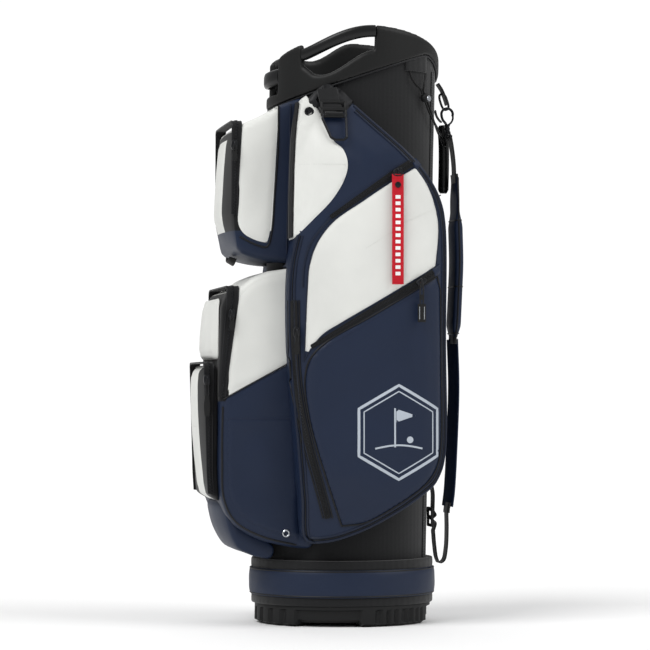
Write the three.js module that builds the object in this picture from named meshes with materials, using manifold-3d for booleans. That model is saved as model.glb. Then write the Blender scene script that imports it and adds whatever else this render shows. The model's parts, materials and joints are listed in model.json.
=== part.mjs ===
// Golf cart bag: upright bag with a ribbed base, an oval tube with a 15-well divider, a moulded
// top collar, zipped pockets on the front and sides, a spine handle and one shoulder strap.
// Millimetres, +Z up. The origin is the middle of the base on the floor; the pockets face -Y,
// the spine and the strap face +Y, and the big right-hand side pocket faces +X.
import * as THREE from 'three';
import { mergeVertices } from 'three/addons/utils/BufferGeometryUtils.js';
import Module from 'manifold-3d';

const wasm = await Module();
wasm.setup();

// ---- driving dimensions ----
const GAP = 0.3;                 // clearance between neighbouring solids
const TUBE_A = 112;              // half width of the tube, along X
const TUBE_B = 128;              // half depth of the tube, along Y
const TUBE_WALL = 2.5;
const LEAN = 17 / 829;           // the tube leans back this much for each millimetre of height
const BASE_TOP = 31;             // top of the moulded base, where the tube stands
const BASE_A = 122;
const BASE_B = 135;
const BAND_A = 126;              // navy band round the foot of the tube
const BAND_B = 142;
const COLLAR_OUT = 5;            // how far the collar stands outside the tube
const COLLAR_IN = 6;             // and inside its outer face
const SIDE_FACE = 160;           // outer face of the side pockets
const BALL_HALF = 90;            // half widths of the front pockets
const LOWER_HALF = 102;
const DOME_HALF = 84;
const TAPE = 1.4;                // thickness of a zip tape
const SLIDER_LIFT = 2.4;         // underside of a zip slider above the pocket face
const STRAP_WIDTH = 40;
const WEB_WIDTH = 25;
const STRAP_X = 24;              // the strap hangs beside the spine handle

const RAD = Math.PI / 180;
const COLOURS = {
  navy: [0x232b45, 0.55, 0],
  white: [0xe6e7e4, 0.5, 0],
  charcoal: [0x2b2d2f, 0.7, 0],
  moulded: [0x2a2c2e, 0.4, 0],
  webbing: [0x17181a, 0.9, 0],
  rubber: [0x1b1c1e, 0.6, 0],
  zip: [0x141518, 0.6, 0],
  metal: [0x3a3c3f, 0.35, 0.9],
  aluminium: [0xb8bcc0, 0.4, 0.9],
  red: [0xc4122b, 0.6, 0],
};

// ---- geometry helpers ----
const vec = (x, y, z) => new THREE.Vector3(x, y, z);

function smooth(t) {
  const s = Math.min(1, Math.max(0, t));
  return s * s * (3 - 2 * s);
}

function steps(from, to, count) {
  return Array.from({ length: count + 1 }, (_, i) => from + (to - from) * i / count);
}

// A smooth line through a few points, sampled evenly.
function curve(points, count, closed = false) {
  const line = new THREE.CatmullRomCurve3(points.map((p) => vec(...p)), closed, 'centripetal');
  const samples = line.getSpacedPoints(count);
  return closed ? samples.slice(0, -1) : samples;
}

// A flat outline in Y and Z, rounded by a spline through its points.
function outline(points, count) {
  const samples = curve(points.map(([y, z]) => [0, y, z]), count, true);
  return samples.map((p) => [p.y, p.z]);
}

function capTriangles(ring) {
  const normal = vec(0, 0, 0);
  ring.forEach((p, i) => {
    const q = ring[(i + 1) % ring.length];
    normal.x += (p.y - q.y) * (p.z + q.z);
    normal.y += (p.z - q.z) * (p.x + q.x);
    normal.z += (p.x - q.x) * (p.y + q.y);
  });
  normal.normalize();
  const side = Math.abs(normal.z) < 0.9 ? vec(0, 0, 1) : vec(1, 0, 0);
  const u = side.cross(normal).normalize();
  const v = normal.clone().cross(u);
  const flat = ring.map((p) => new THREE.Vector2(p.dot(u), p.dot(v)));
  return THREE.ShapeUtils.triangulateShape(flat, []);
}

function signedVolume(points, faces) {
  return faces.reduce((sum, [a, b, c]) =>
    sum + points[a].dot(points[b].clone().cross(points[c])), 0);
}

// One closed body from rings of points: each ring is joined to the next, and the two ends are
// capped unless the last ring joins the first.
function skin(rings, loops = false) {
  const size = rings[0].length;
  const points = rings.flat();
  const faces = [];
  const bands = loops ? rings.length : rings.length - 1;
  for (let r = 0; r < bands; r += 1) {
    const low = r * size;
    const high = ((r + 1) % rings.length) * size;
    for (let i = 0; i < size; i += 1) {
      const j = (i + 1) % size;
      faces.push([low + i, low + j, high + j], [low + i, high + j, high + i]);
    }
  }
  if (!loops) {
    const last = (rings.length - 1) * size;
    capTriangles(rings[0]).forEach(([a, b, c]) => faces.push([a, c, b]));
    capTriangles(rings.at(-1)).forEach(([a, b, c]) => faces.push([last + a, last + b, last + c]));
  }
  const turned = signedVolume(points, faces) < 0;
  const geometry = new THREE.BufferGeometry();
  const coordinates = points.flatMap((p) => [p.x, p.y, p.z]);
  geometry.setAttribute('position', new THREE.Float32BufferAttribute(coordinates, 3));
  geometry.setIndex(faces.flatMap(([a, b, c]) => (turned ? [a, c, b] : [a, b, c])));
  return geometry;
}

function toSolid(geometry) {
  const plain = geometry.clone();
  plain.deleteAttribute('normal');
  plain.deleteAttribute('uv');
  const merged = mergeVertices(plain, 1e-4);
  return new wasm.Manifold(new wasm.Mesh({
    numProp: 3,
    vertProperties: new Float32Array(merged.attributes.position.array),
    triVerts: new Uint32Array(merged.index.array),
  }));
}

function fromSolid(solid) {
  const mesh = solid.getMesh();
  const geometry = new THREE.BufferGeometry();
  geometry.setAttribute('position', new THREE.BufferAttribute(mesh.vertProperties, 3));
  geometry.setIndex(new THREE.BufferAttribute(mesh.triVerts, 1));
  return geometry;
}

const cut = (geometry, ...tools) =>
  fromSolid(tools.reduce((left, tool) => left.subtract(toSolid(tool)), toSolid(geometry)));

const bag = new THREE.Group();

function add(name, geometry, colour, place) {
  const [color, roughness, metalness] = COLOURS[colour];
  const material = new THREE.MeshStandardMaterial({ color, roughness, metalness });
  const mesh = new THREE.Mesh(geometry, material);
  mesh.name = name;
  if (place) place(mesh);
  bag.add(mesh);
}

const mirrored = (geometry) => {
  const copy = geometry.clone().applyMatrix4(new THREE.Matrix4().makeScale(-1, 1, 1));
  const order = copy.index.array;
  for (let i = 0; i < order.length; i += 3) {
    [order[i + 1], order[i + 2]] = [order[i + 2], order[i + 1]];
  }
  return copy;
};

// A point on the leaning oval, at an angle measured from +X towards the spine.
function onOval(a, b, degrees, z) {
  const angle = degrees * RAD;
  return vec(a * Math.cos(angle), b * Math.sin(angle) + LEAN * z, z);
}

// A ring round the tube: section(degrees) gives [radial offset, height] pairs.
function ovalRing(a, b, angles, section, loops = true) {
  return skin(angles.map((angle) =>
    section(angle).map(([out, z]) => onOval(a + out, b + out, angle, z))), loops);
}

function tubeCore(grow, bottom, top) {
  const angles = steps(0, 360, 72).slice(0, -1);
  const ring = (z) => angles.map((angle) => onOval(TUBE_A + grow, TUBE_B + grow, angle, z));
  return skin([ring(bottom), ring(top)]);
}

// A flat strip along a line on a pocket: centres, the direction of its width and of its thickness.
function strip(centres, width, thick, acrossAt, outAt) {
  return skin(centres.map((centre, i) => {
    const across = acrossAt(centre, i, centres).setLength(width / 2);
    const out = outAt(centre, i, centres).setLength(thick);
    const low = centre.clone().sub(across);
    const high = centre.clone().add(across);
    return [low, high, high.clone().add(out), low.clone().add(out)];
  }));
}

function direction(centres, i) {
  const before = centres[Math.max(0, i - 1)];
  const after = centres[Math.min(centres.length - 1, i + 1)];
  return after.clone().sub(before).normalize();
}

// A round or oval bar along a line, kept level with the given side direction.
function bar(centres, wide, deep, side, sides = 10) {
  return skin(centres.map((centre, i) => {
    const along = direction(centres, i);
    const u = side.clone().sub(along.clone().multiplyScalar(side.dot(along))).normalize();
    const v = along.clone().cross(u);
    return steps(0, 360, sides).slice(0, -1).map((angle) => centre.clone()
      .addScaledVector(u, wide / 2 * Math.cos(angle * RAD))
      .addScaledVector(v, deep / 2 * Math.sin(angle * RAD)));
  }));
}

// ---- tube, stays and dividers ----
function collarBottom(degrees) {
  const rise = 832 + 46 * Math.sin(degrees * RAD);
  const fromSpine = Math.abs(((degrees - 90 + 540) % 360) - 180);
  return rise - 43 * smooth((45 - fromSpine) / 45);
}

const tubeTop = (degrees) => collarBottom(degrees) + 10;

function tubeShell() {
  const angles = steps(0, 360, 72).slice(0, -1);
  return ovalRing(TUBE_A, TUBE_B, angles, (angle) => [
    [0, BASE_TOP + GAP],
    [0, tubeTop(angle)],
    [-TUBE_WALL, tubeTop(angle)],
    [-TUBE_WALL, BASE_TOP + GAP],
  ]);
}

const DIVIDER_INSET = 8;         // keeps the plates clear of the tube wall and the collar
const PLATE = 2;
const LONG_PLATES = [-36, 36];
const CROSS_PLATES = [-66, -22, 22, 66];
const DIVIDER_FOOT = BASE_TOP + 1;
const dividerTop = (y) => 842 + 0.2 * y;

function sheared(geometry) {
  const shear = new THREE.Matrix4().set(1, 0, 0, 0, 0, 1, LEAN, 0, 0, 0, 1, 0, 0, 0, 0, 1);
  return geometry.applyMatrix4(shear);
}

function longDivider(x) {
  const half = (TUBE_B - DIVIDER_INSET) * Math.sqrt(1 - (x / (TUBE_A - DIVIDER_INSET)) ** 2);
  const shape = new THREE.Shape();
  shape.moveTo(-half, DIVIDER_FOOT);
  shape.lineTo(half, DIVIDER_FOOT);
  shape.lineTo(half, dividerTop(half));
  [...CROSS_PLATES].reverse().forEach((y) => {
    const slot = PLATE / 2 + GAP;
    const middle = (DIVIDER_FOOT + dividerTop(y)) / 2;
    shape.lineTo(y + slot, dividerTop(y + slot));
    shape.lineTo(y + slot, middle);
    shape.lineTo(y - slot, middle);
    shape.lineTo(y - slot, dividerTop(y - slot));
  });
  shape.lineTo(-half, dividerTop(-half));
  const geometry = new THREE.ExtrudeGeometry(shape, { depth: PLATE, bevelEnabled: false });
  geometry.applyMatrix4(new THREE.Matrix4().makeBasis(vec(0, 1, 0), vec(0, 0, 1), vec(1, 0, 0)));
  return sheared(geometry.translate(x - PLATE / 2, 0, 0));
}

function crossDivider(y) {
  const half = (TUBE_A - DIVIDER_INSET) * Math.sqrt(1 - (y / (TUBE_B - DIVIDER_INSET)) ** 2);
  const top = dividerTop(y);
  const middle = (DIVIDER_FOOT + top) / 2 - 2 * GAP;
  const shape = new THREE.Shape();
  shape.moveTo(-half, DIVIDER_FOOT);
  LONG_PLATES.forEach((x) => {
    const slot = PLATE / 2 + GAP;
    shape.lineTo(x - slot, DIVIDER_FOOT);
    shape.lineTo(x - slot, middle + 4 * GAP);
    shape.lineTo(x + slot, middle + 4 * GAP);
    shape.lineTo(x + slot, DIVIDER_FOOT);
  });
  shape.lineTo(half, DIVIDER_FOOT);
  shape.lineTo(half, top);
  shape.lineTo(-half, top);
  const geometry = new THREE.ExtrudeGeometry(shape, { depth: PLATE, bevelEnabled: false });
  geometry.applyMatrix4(new THREE.Matrix4().makeBasis(vec(1, 0, 0), vec(0, 0, 1), vec(0, -1, 0)));
  return sheared(geometry.translate(0, y + PLATE / 2, 0));
}

function stay(side) {
  const angle = 90 - side * 14;
  const inset = (TUBE_WALL + DIVIDER_INSET) / 2;
  const middle = onOval(TUBE_A - inset, TUBE_B - inset, angle, 0);
  const geometry = new THREE.BoxGeometry(18, 2.2, 780);
  geometry.rotateZ(-side * 14 * RAD * TUBE_B / TUBE_A);
  geometry.translate(middle.x, middle.y, BASE_TOP + 1 + 390);
  return sheared(geometry);
}

// ---- base ----
const FOOT_BLOCKS = [[-138, -42], [4, 62], [118, 176]];
const RIBS_PER_BLOCK = 7;

function footDepth(degrees) {
  const turned = ((degrees + 180) % 360) - 180;
  return FOOT_BLOCKS.some(([from, to]) => turned >= from && turned <= to) ? 0 : 6;
}

function ribbed(degrees) {
  const turned = ((degrees + 180) % 360) - 180;
  const block = FOOT_BLOCKS.find(([from, to]) => turned > from + 6 && turned < to - 6);
  if (!block) return 0;
  const pitch = (block[1] - block[0] - 12) / RIBS_PER_BLOCK;
  return ((turned - block[0] - 6) % pitch) / pitch > 0.55 ? -4 : 0;
}

// The foot ring: recessed between the blocks, grooved where the blocks carry ribs.
function baseBoot() {
  const angles = steps(0, 360, 180).slice(0, -1);
  const section = (angle) => {
    const low = footDepth(angle);
    const back = low > 0 ? -5 : 0;
    const groove = ribbed(angle);
    return [
      [-8 + back, low],
      [-3 + back, low + 4],
      [back + groove, low + 5],
      [back + groove, 24],
      [0, 26],
      [0, BASE_TOP],
      [-40, BASE_TOP],
      [-40, low],
    ];
  };
  const ring = toSolid(ovalRing(BASE_A, BASE_B, angles, section));
  const plate = (grow, z) => angles.filter((_, i) => i % 5 === 0)
    .map((angle) => onOval(BASE_A + grow, BASE_B + grow, angle, z));
  const floor = toSolid(skin([plate(-36, 22), plate(-36, BASE_TOP)]));
  const pad = toSolid(new THREE.CylinderGeometry(34, 36, 24, 40).rotateX(Math.PI / 2)
    .translate(0, 0, 12));
  return fromSolid(ring.add(floor).add(pad));
}

function bandRing(out, bulge, bottom, top) {
  const angles = steps(0, 360, 72).slice(0, -1);
  return skin(angles.map((angle) => {
    const outer = (grow, z) => {
      const p = onOval(BAND_A + grow, BAND_B + grow, angle, z);
      return vec(p.x, p.y - LEAN * z, z);
    };
    return [
      outer(out - 1.5, bottom),
      outer(out + bulge * 0.7, bottom + (top - bottom) * 0.2),
      outer(out + bulge, (bottom + top) / 2),
      outer(out + bulge * 0.7, bottom + (top - bottom) * 0.8),
      outer(out - 1.5, top),
      onOval(TUBE_A + 0.5, TUBE_B + 0.5, angle, top),
      onOval(TUBE_A + 0.5, TUBE_B + 0.5, angle, bottom),
    ];
  }), true);
}

// ---- collar and its handles ----
// Side handle between these angles on the right, front handle between these across the front.
const SIDE_HANDLE = [-46, 6];
const FRONT_HANDLE = [-111, -69];
const FRONT_SCOOP = 806;
const POST_STEP = 0.6;

// The rim is highest at the two sides, falls to the spine and falls further to the front; the
// left side, which has no handle, dips between its two high points.
function rimTop(degrees) {
  const fromSpine = Math.abs(((degrees - 90 + 540) % 360) - 180);
  const back = Math.max(0, 84 - fromSpine) / 84;
  const side = Math.min(1, Math.max(0, fromSpine - 84) / 52);
  const front = Math.max(0, fromSpine - 136) / 44;
  const dip = Math.cos(degrees * RAD) < 0 ? 16 * Math.sin(side * 180 * RAD) ** 2 : 0;
  return 905 - 43 * back ** 1.6 - 27 * side - dip - 32 * front ** 1.2;
}

function collarTop(degrees) {
  const turned = ((degrees + 180) % 360) - 180;
  const [from, to] = SIDE_HANDLE;
  if (turned > from && turned < to) {
    const t = (turned - from) / (to - from);
    return 846 - 16 * smooth(t / 0.24) + 38 * smooth((t - 0.3) / 0.7);
  }
  const [left, right] = FRONT_HANDLE;
  if (turned > left && turned < right) return FRONT_SCOOP;
  return rimTop(degrees);
}

function collarAngles() {
  const edges = [...SIDE_HANDLE, ...FRONT_HANDLE].flatMap((edge) => [edge, edge + POST_STEP]);
  edges[2] = SIDE_HANDLE[1] - POST_STEP;
  edges[3] = SIDE_HANDLE[1];
  edges[6] = FRONT_HANDLE[1] - POST_STEP;
  edges[7] = FRONT_HANDLE[1];
  const even = steps(-180, 180, 90).slice(0, -1);
  const spaced = even.filter((angle) => edges.every((edge) => Math.abs(edge - angle) > 1.2));
  return [...spaced, ...edges].sort((a, b) => a - b);
}

function topCollar() {
  return ovalRing(TUBE_A, TUBE_B, collarAngles(), (angle) => {
    const low = collarBottom(angle);
    const seat = tubeTop(angle) + GAP;
    const top = collarTop(angle);
    const shoulder = Math.min(6, (top - seat) / 3);
    return [
      [COLLAR_OUT - 1, low],
      [COLLAR_OUT, low + 2],
      [COLLAR_OUT, top - shoulder],
      [COLLAR_OUT - 4, top],
      [-COLLAR_IN + 4, top],
      [-COLLAR_IN, top - shoulder],
      [-COLLAR_IN, seat + 1],
      [-COLLAR_IN + 1, seat],
      [GAP, seat],
      [GAP, low],
    ];
  });
}

function handleSection(out, z, deep, tall) {
  return steps(0, 360, 12).slice(0, -1).map((angle) =>
    [out + deep / 2 * Math.cos(angle * RAD), z + tall / 2 * Math.sin(angle * RAD)]);
}

function sideHandleBar() {
  const [from, to] = SIDE_HANDLE;
  const clear = POST_STEP + 0.3;
  return ovalRing(TUBE_A, TUBE_B, steps(from + clear, to - clear, 16), (angle) => {
    const t = (angle - from) / (to - from);
    const z = 862 + 34 * Math.sin(t * 90 * RAD) ** 1.3;
    return handleSection(-0.5, z, 15, 18 + 1.5 * Math.sin(t * 180 * RAD));
  }, false);
}

function frontHandleBar() {
  const [from, to] = FRONT_HANDLE;
  const clear = POST_STEP + 0.3;
  return ovalRing(TUBE_A, TUBE_B, steps(from + clear, to - clear, 12), (angle) => {
    const arch = Math.sin((angle - from) / (to - from) * 180 * RAD);
    return handleSection(-1 + 6 * arch, 833 - 3 * arch, 11, 25);
  }, false);
}

// ---- pockets ----
// Outline levels along X: each level is [x, inset]; inset pulls the outline in towards its middle.
function boxPocket(points, count, levels) {
  const loop = outline(points, count);
  const middle = loop.reduce(([y, z], p) => [y + p[0] / loop.length, z + p[1] / loop.length], [0, 0]);
  return skin(levels.map(([x, inset]) => loop.map(([y, z]) => {
    const reach = Math.hypot(y - middle[0], z - middle[1]);
    const keep = (reach - inset) / reach;
    return vec(x, middle[0] + (y - middle[0]) * keep, middle[1] + (z - middle[1]) * keep);
  })));
}

const pocketLevels = (half, rounding) => [
  [-half, rounding], [-half + rounding, 1.5], [-half + 2 * rounding, 0],
  [half - 2 * rounding, 0], [half - rounding, 1.5], [half, rounding],
];

const BALL_OUTLINE = [
  [-60, 794], [-104, 787], [-140, 768], [-172, 753], [-186, 741], [-194, 700], [-198, 655],
  [-200, 618], [-190, 588], [-172, 562], [-140, 551], [-100, 547], [-60, 548],
];
const LOWER_OUTLINE = [
  [-60, 535], [-110, 536], [-144, 529], [-176, 507], [-197, 496], [-202, 440], [-204, 380],
  [-204, 300], [-204, 220], [-200, 186], [-183, 155], [-144, 131], [-100, 121], [-60, 119],
];
const MID_OUTLINE = [
  [-200, 494], [-209, 488], [-217, 458], [-221, 428], [-220, 404], [-200, 402],
];
const LOW_OUTLINE = [
  [-200, 391], [-220, 392], [-232, 384], [-235, 345], [-232, 295], [-225, 240], [-215, 196],
  [-200, 188],
];
const SKIRT_OUTLINE = [
  [-206, 178], [-208, 165], [-199, 140], [-181, 116], [-159, 108], [-146, 104], [-144, 116],
  [-160, 125], [-186, 143], [-202, 172],
];

const tubeCutter = tubeCore(GAP, BASE_TOP, 900);

const ballPocket = () => cut(boxPocket(BALL_OUTLINE, 40, pocketLevels(BALL_HALF, 4)), tubeCutter);

const lowerPocket = () =>
  cut(boxPocket(LOWER_OUTLINE, 44, pocketLevels(LOWER_HALF, 4)), tubeCutter);

const ballClear = boxPocket(BALL_OUTLINE, 40, pocketLevels(BALL_HALF + GAP, 4).map(
  ([x, inset]) => [x, inset - 0.5]));
const lowerClear = boxPocket(LOWER_OUTLINE, 44, pocketLevels(LOWER_HALF + GAP, 4).map(
  ([x, inset]) => [x, inset - 0.5]));

function domePocket(points, count) {
  return cut(boxPocket(points, count, pocketLevels(DOME_HALF, 5)), lowerClear);
}

// The shape of a side pocket's outer face: flat in the middle, rounded off towards its edges.
function sideFace(y, z) {
  const edge = Math.abs((y - 15) / 118) ** 6;
  const top = smooth((z - 690) / 125);
  const foot = smooth((250 - z) / 120);
  return SIDE_FACE - 26 * edge - 36 * top - 14 * foot;
}

const SIDE_OUTLINE = [
  [-46, 812], [-28, 806], [-4, 784], [30, 752], [72, 712], [106, 674], [128, 636], [136, 598],
  [136, 430], [135, 258], [120, 218], [94, 195], [52, 167], [0, 141], [-50, 127], [-80, 130],
  [-88, 193], [-96, 290], [-103, 385], [-106, 450], [-104, 540], [-88, 620], [-74, 700],
  [-64, 770],
];
const SIDE_BACK = 55;            // the gusset slants in towards the tube as far as this
const PILLOW_RINGS = [1, 0.985, 0.95, 0.9, 0.82, 0.7, 0.5, 0.25];

function sidePocket() {
  const loop = outline(SIDE_OUTLINE, 56);
  const middle = [15, 450];
  const grown = (y, z, keep) => [
    middle[0] + (y - middle[0]) * keep, middle[1] + (z - middle[1]) * keep];
  const rings = PILLOW_RINGS.map((keep) => loop.map(([y, z]) => {
    const [ry, rz] = grown(y, z, keep);
    const drop = keep === 1 ? 5 : 0;
    return vec(sideFace(ry, rz) - drop, ry, rz);
  }));
  const back = loop.map(([y, z]) => vec(SIDE_BACK, y > 0 ? y * 0.9 : y, z));
  return cut(skin([...rings.reverse(), back]), tubeCutter, ballClear, lowerClear, collarClear);
}

const collarClear = ovalRing(TUBE_A, TUBE_B, steps(0, 360, 72).slice(0, -1), (angle) => [
  [-30, collarBottom(angle) - GAP - 0.2],
  [COLLAR_OUT + 1, collarBottom(angle) - GAP - 0.2],
  [COLLAR_OUT + 1, collarBottom(angle) + 60],
  [-30, collarBottom(angle) + 60],
]);

const rightPocket = sidePocket();

// ---- zips: a tape, a slider that runs on it, and a puller that hangs from the slider ----
const FACE_OUT = vec(1, 0, 0);

function tapeOnSide(points, count, width) {
  const centres = curve(points.map(([y, z]) => [sideFace(y, z), y, z]), count);
  centres.forEach((p) => { p.x = sideFace(p.y, p.z) + 0.4; });
  const across = (_, i, all) => direction(all, i).cross(FACE_OUT);
  const tape = strip(centres, width, TAPE, across, () => FACE_OUT.clone());
  return cut(tape, rightPocket.clone().translate(GAP, 0, 0));
}

// A zip that runs up one side of a pocket, over its top and down the other side.
function tapeOver(half, foot, shoulder, roof, width) {
  const [footY, footZ] = foot;
  const [shoulderY, shoulderZ] = shoulder;
  const out = half + 0.5;
  const corner = 10;
  const rise = steps(0, 1, 6).map((t) =>
    vec(out, footY + (shoulderY - footY) * t, footZ + (shoulderZ - corner - footZ) * t));
  const turn = steps(15, 90, 5).map((angle) => vec(
    out - corner + corner * Math.cos(angle * RAD), shoulderY,
    roof - corner + corner * Math.sin(angle * RAD)));
  const half1 = [...rise, ...turn];
  const half2 = half1.map((p) => vec(-p.x, p.y, p.z)).reverse();
  const centres = [...half1, ...half2];
  const outward = (_, i, all) => direction(all, i).cross(vec(0, -1, 0));
  return strip(centres, width, TAPE, () => vec(0, 1, 0), outward);
}

const SLIDER_SHAPE = [[-7, -3], [-3, -5], [5, -4.5], [8, -2], [8, 2], [5, 4.5], [-3, 5], [-7, 3]];

function slider(thick = 4.5) {
  const shape = new THREE.Shape(SLIDER_SHAPE.map(([x, y]) => new THREE.Vector2(x, y)));
  return new THREE.ExtrudeGeometry(shape, { depth: thick, bevelEnabled: false });
}

// A puller hangs straight down from a slider on a face that looks towards +X.
function puller(width, length, thick) {
  const half = width / 2;
  const shoulder = Math.min(length * 0.35, 8);
  const shape = new THREE.Shape();
  shape.moveTo(-half * 0.5, 0);
  shape.lineTo(half * 0.5, 0);
  shape.lineTo(half, -shoulder);
  shape.lineTo(half, -length + 2);
  shape.lineTo(half - 2, -length);
  shape.lineTo(-half + 2, -length);
  shape.lineTo(-half, -length + 2);
  shape.lineTo(-half, -shoulder);
  const geometry = new THREE.ExtrudeGeometry(shape, { depth: thick, bevelEnabled: false });
  return geometry.applyMatrix4(
    new THREE.Matrix4().makeBasis(vec(0, 1, 0), vec(0, 0, 1), vec(1, 0, 0)));
}

const GARMENT_FACE = sideFace(-89, 470);

// Sliders on faces that look along X: [name, x of the tape face, y, z, slope of the zip].
const SLIDERS = [
  ['upper_side', SIDE_FACE, 54, 680, 35],
  ['lower_side', SIDE_FACE, 90, 516, 30],
  ['garment', GARMENT_FACE, -96.2, 440, 91.5],
  ['ball', BALL_HALF, -181, 722, 85],
  ['mid', LOWER_HALF, -186.5, 468, 85.6],
  ['low', DOME_HALF, -221.5, 370, 93.5],
];
const PULLERS = {
  upper_side: [18, 170, 1.6, 'red'],
  lower_side: [12, 62, 3, 'rubber'],
  garment: [8, 34, 2.4, 'rubber'],
  ball: [8, 26, 2.4, 'rubber'],
  mid: [8, 26, 2.4, 'rubber'],
  low: [10, 56, 2.4, 'rubber'],
};

function sliderBody(slope) {
  const body = slider().applyMatrix4(
    new THREE.Matrix4().makeBasis(vec(0, 1, 0), vec(0, 0, 1), vec(1, 0, 0)));
  return body.rotateX(slope * RAD);
}

function addSlider([name, face, y, z, slope]) {
  const lift = face + SLIDER_LIFT;
  add(`${name}_zip_slider`, sliderBody(slope), 'metal', (mesh) =>
    mesh.position.set(lift, y, z));
  const [width, length, thick, colour] = PULLERS[name];
  const node = name === 'upper_side' ? 'ribbon_puller' : `${name}_zip_puller`;
  add(node, puller(width, length, thick), colour, (mesh) =>
    mesh.position.set(lift + 4.5 + GAP, y, z + 2));
}

// ---- towel ring, snap, elastic cord ----
function towelWeb() {
  const centres = [[126.5, -46, 806], [131.5, -43, 787], [138.5, -38, 769.5]].map((p) => vec(...p));
  return strip(centres, 30, 4, () => vec(0, 1, 0), () => vec(1, 0, 0.3));
}

const TOWEL_HINGE = { x: 143, y: -38, z: 766 };
const TOWEL_TILT = 20;           // the ring leans out over the swell of the pocket

function towelRing() {
  const corners = [[-15, 0], [15, 0], [18, -6], [18, -36], [14, -42], [0, -42], [-4, -38],
    [-18, -6]];
  const { x, y, z } = TOWEL_HINGE;
  const lean = TOWEL_TILT * RAD;
  const placed = corners.map(([across, down]) =>
    [x - down * Math.sin(lean), y + across, z + down * Math.cos(lean)]);
  const centres = curve(placed, 32, true);
  const wire = 1.9;
  return skin(centres.map((centre, i) => {
    const next = centres[(i + 1) % centres.length];
    const before = centres[(i + centres.length - 1) % centres.length];
    const along = next.clone().sub(before).normalize();
    const u = FACE_OUT.clone();
    const v = along.clone().cross(u);
    return steps(0, 360, 8).slice(0, -1).map((angle) => centre.clone()
      .addScaledVector(u, wire * Math.cos(angle * RAD))
      .addScaledVector(v, wire * Math.sin(angle * RAD)));
  }), true);
}

// The route of the elastic cord, from the tab under the collar to the spine handle.
const CORD_ROUTE = [
  [97, 87, 837], [98, 89, 829], [95.5, 96, 819], [90.2, 105.2, 811.6], [87.6, 108.1, 806],
  [82.1, 114.2, 793.5], [76.6, 120.3, 781], [69.5, 127, 770.5], [59.5, 134.3, 762.5],
  [46, 141.6, 756], [33, 147.3, 751.5], [22, 152.8, 748.5], [14.2, 158.5, 744.5],
  [13.4, 161.5, 737.5], [18.4, 158.6, 732.6], [26.4, 152.4, 737.3], [33.5, 147.6, 744.5],
  [46, 141.6, 750], [57.5, 135.9, 757.5], [65.6, 130.8, 767], [72.2, 125.2, 779.7],
  [77.7, 119.1, 792.2], [83.2, 113, 804.7], [85.4, 110.6, 809.7], [84.8, 111.6, 818],
  [81.5, 114, 829], [79, 115.5, 837],
];
const CORD = 3;

const elasticCord = () => bar(curve(CORD_ROUTE, 78), CORD, CORD, vec(1, 1, 0.3), 8);

function cordTab() {
  return ovalRing(TUBE_A, TUBE_B, steps(29, 51, 8), (angle) => {
    const top = collarBottom(angle) - 1;
    return [[0.4, 839], [0.4, top], [2.4, top], [2.4, 839]];
  }, false);
}

const TOGGLE = { x: 83.2, y: 113.7, z: 799.5 };

function cordToggle() {
  const ball = new THREE.SphereGeometry(7.2, 20, 14).translate(TOGGLE.x, TOGGLE.y, TOGGLE.z);
  const bores = bar(curve(CORD_ROUTE, 78), CORD + 1.2, CORD + 1.2, vec(1, 1, 0.3), 8);
  return cut(ball, bores);
}

// ---- spine handle and shoulder strap ----
const GRIP_RADIUS = 8.5;

function spineGrip() {
  const path = curve([[0, 159, 766], [0, 161, 735], [0, 161, 700], [0, 160, 660]], 16);
  return bar(path, 2 * GRIP_RADIUS, 2 * GRIP_RADIUS, FACE_OUT, 16);
}

function spineWeb(topEnd) {
  const route = topEnd
    ? [[0, 146.2, 790], [0, 148, 781], [0, 153, 773], [0, 157.5, 769]]
    : [[0, 143.6, 640], [0, 146, 648], [0, 152, 654], [0, 157, 657]];
  const centres = curve(route, 6);
  return strip(centres, 16, 2, () => FACE_OUT.clone(), (_, i, all) =>
    direction(all, i).cross(FACE_OUT).multiplyScalar(-1));
}

function strapAnchor() {
  const route = [[0, 149.5, 828], [0, 156, 818], [0, 161, 806], [0, 164.5, 795]];
  return strip(curve(route, 8), WEB_WIDTH * 0.8, 2.5, () => FACE_OUT.clone(), (_, i, all) =>
    direction(all, i).cross(FACE_OUT).multiplyScalar(-1));
}

const HOOK = { y: 165, top: 792, foot: 764, radius: 9, wire: 4 };
const GATE_GAP = 6;

// The snap hook: an open loop of wire with an eye below it; the gate closes the loop.
function snapHook() {
  const { y, top, foot, radius, wire } = HOOK;
  const centre = top - radius - wire / 2;
  const route = [
    ...steps(-20, 180, 10).map((a) =>
      [0, y + radius * Math.cos(a * RAD), centre + radius * Math.sin(a * RAD)]),
    [0, y - radius * 0.8, centre - 8],
    [0, y - 2, foot + 2],
    [0, y, foot - 6],
    [0, y, foot - 16],
  ];
  return bar(curve(route, 30), wire, wire, FACE_OUT, 8);
}

function hookGate() {
  const { y, top, radius, wire } = HOOK;
  const centre = top - radius - wire / 2;
  const route = [[0, y + radius + 0.2, centre - GATE_GAP], [0, y + 6.4, centre - 13]];
  return bar(curve(route, 4), wire * 0.8, wire * 0.8, FACE_OUT, 8);
}

const strapStrip = (route, count, width, thick) =>
  strip(curve(route, count), width, thick, () => FACE_OUT.clone(), (_, i, all) =>
    direction(all, i).cross(FACE_OUT).multiplyScalar(-1));

const upperWeb = () => strapStrip(
  [[0, 169, 747], [0, 172, 730], [0, 175, 705], [0, 176, 683]], 8, WEB_WIDTH, 2.5);

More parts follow.
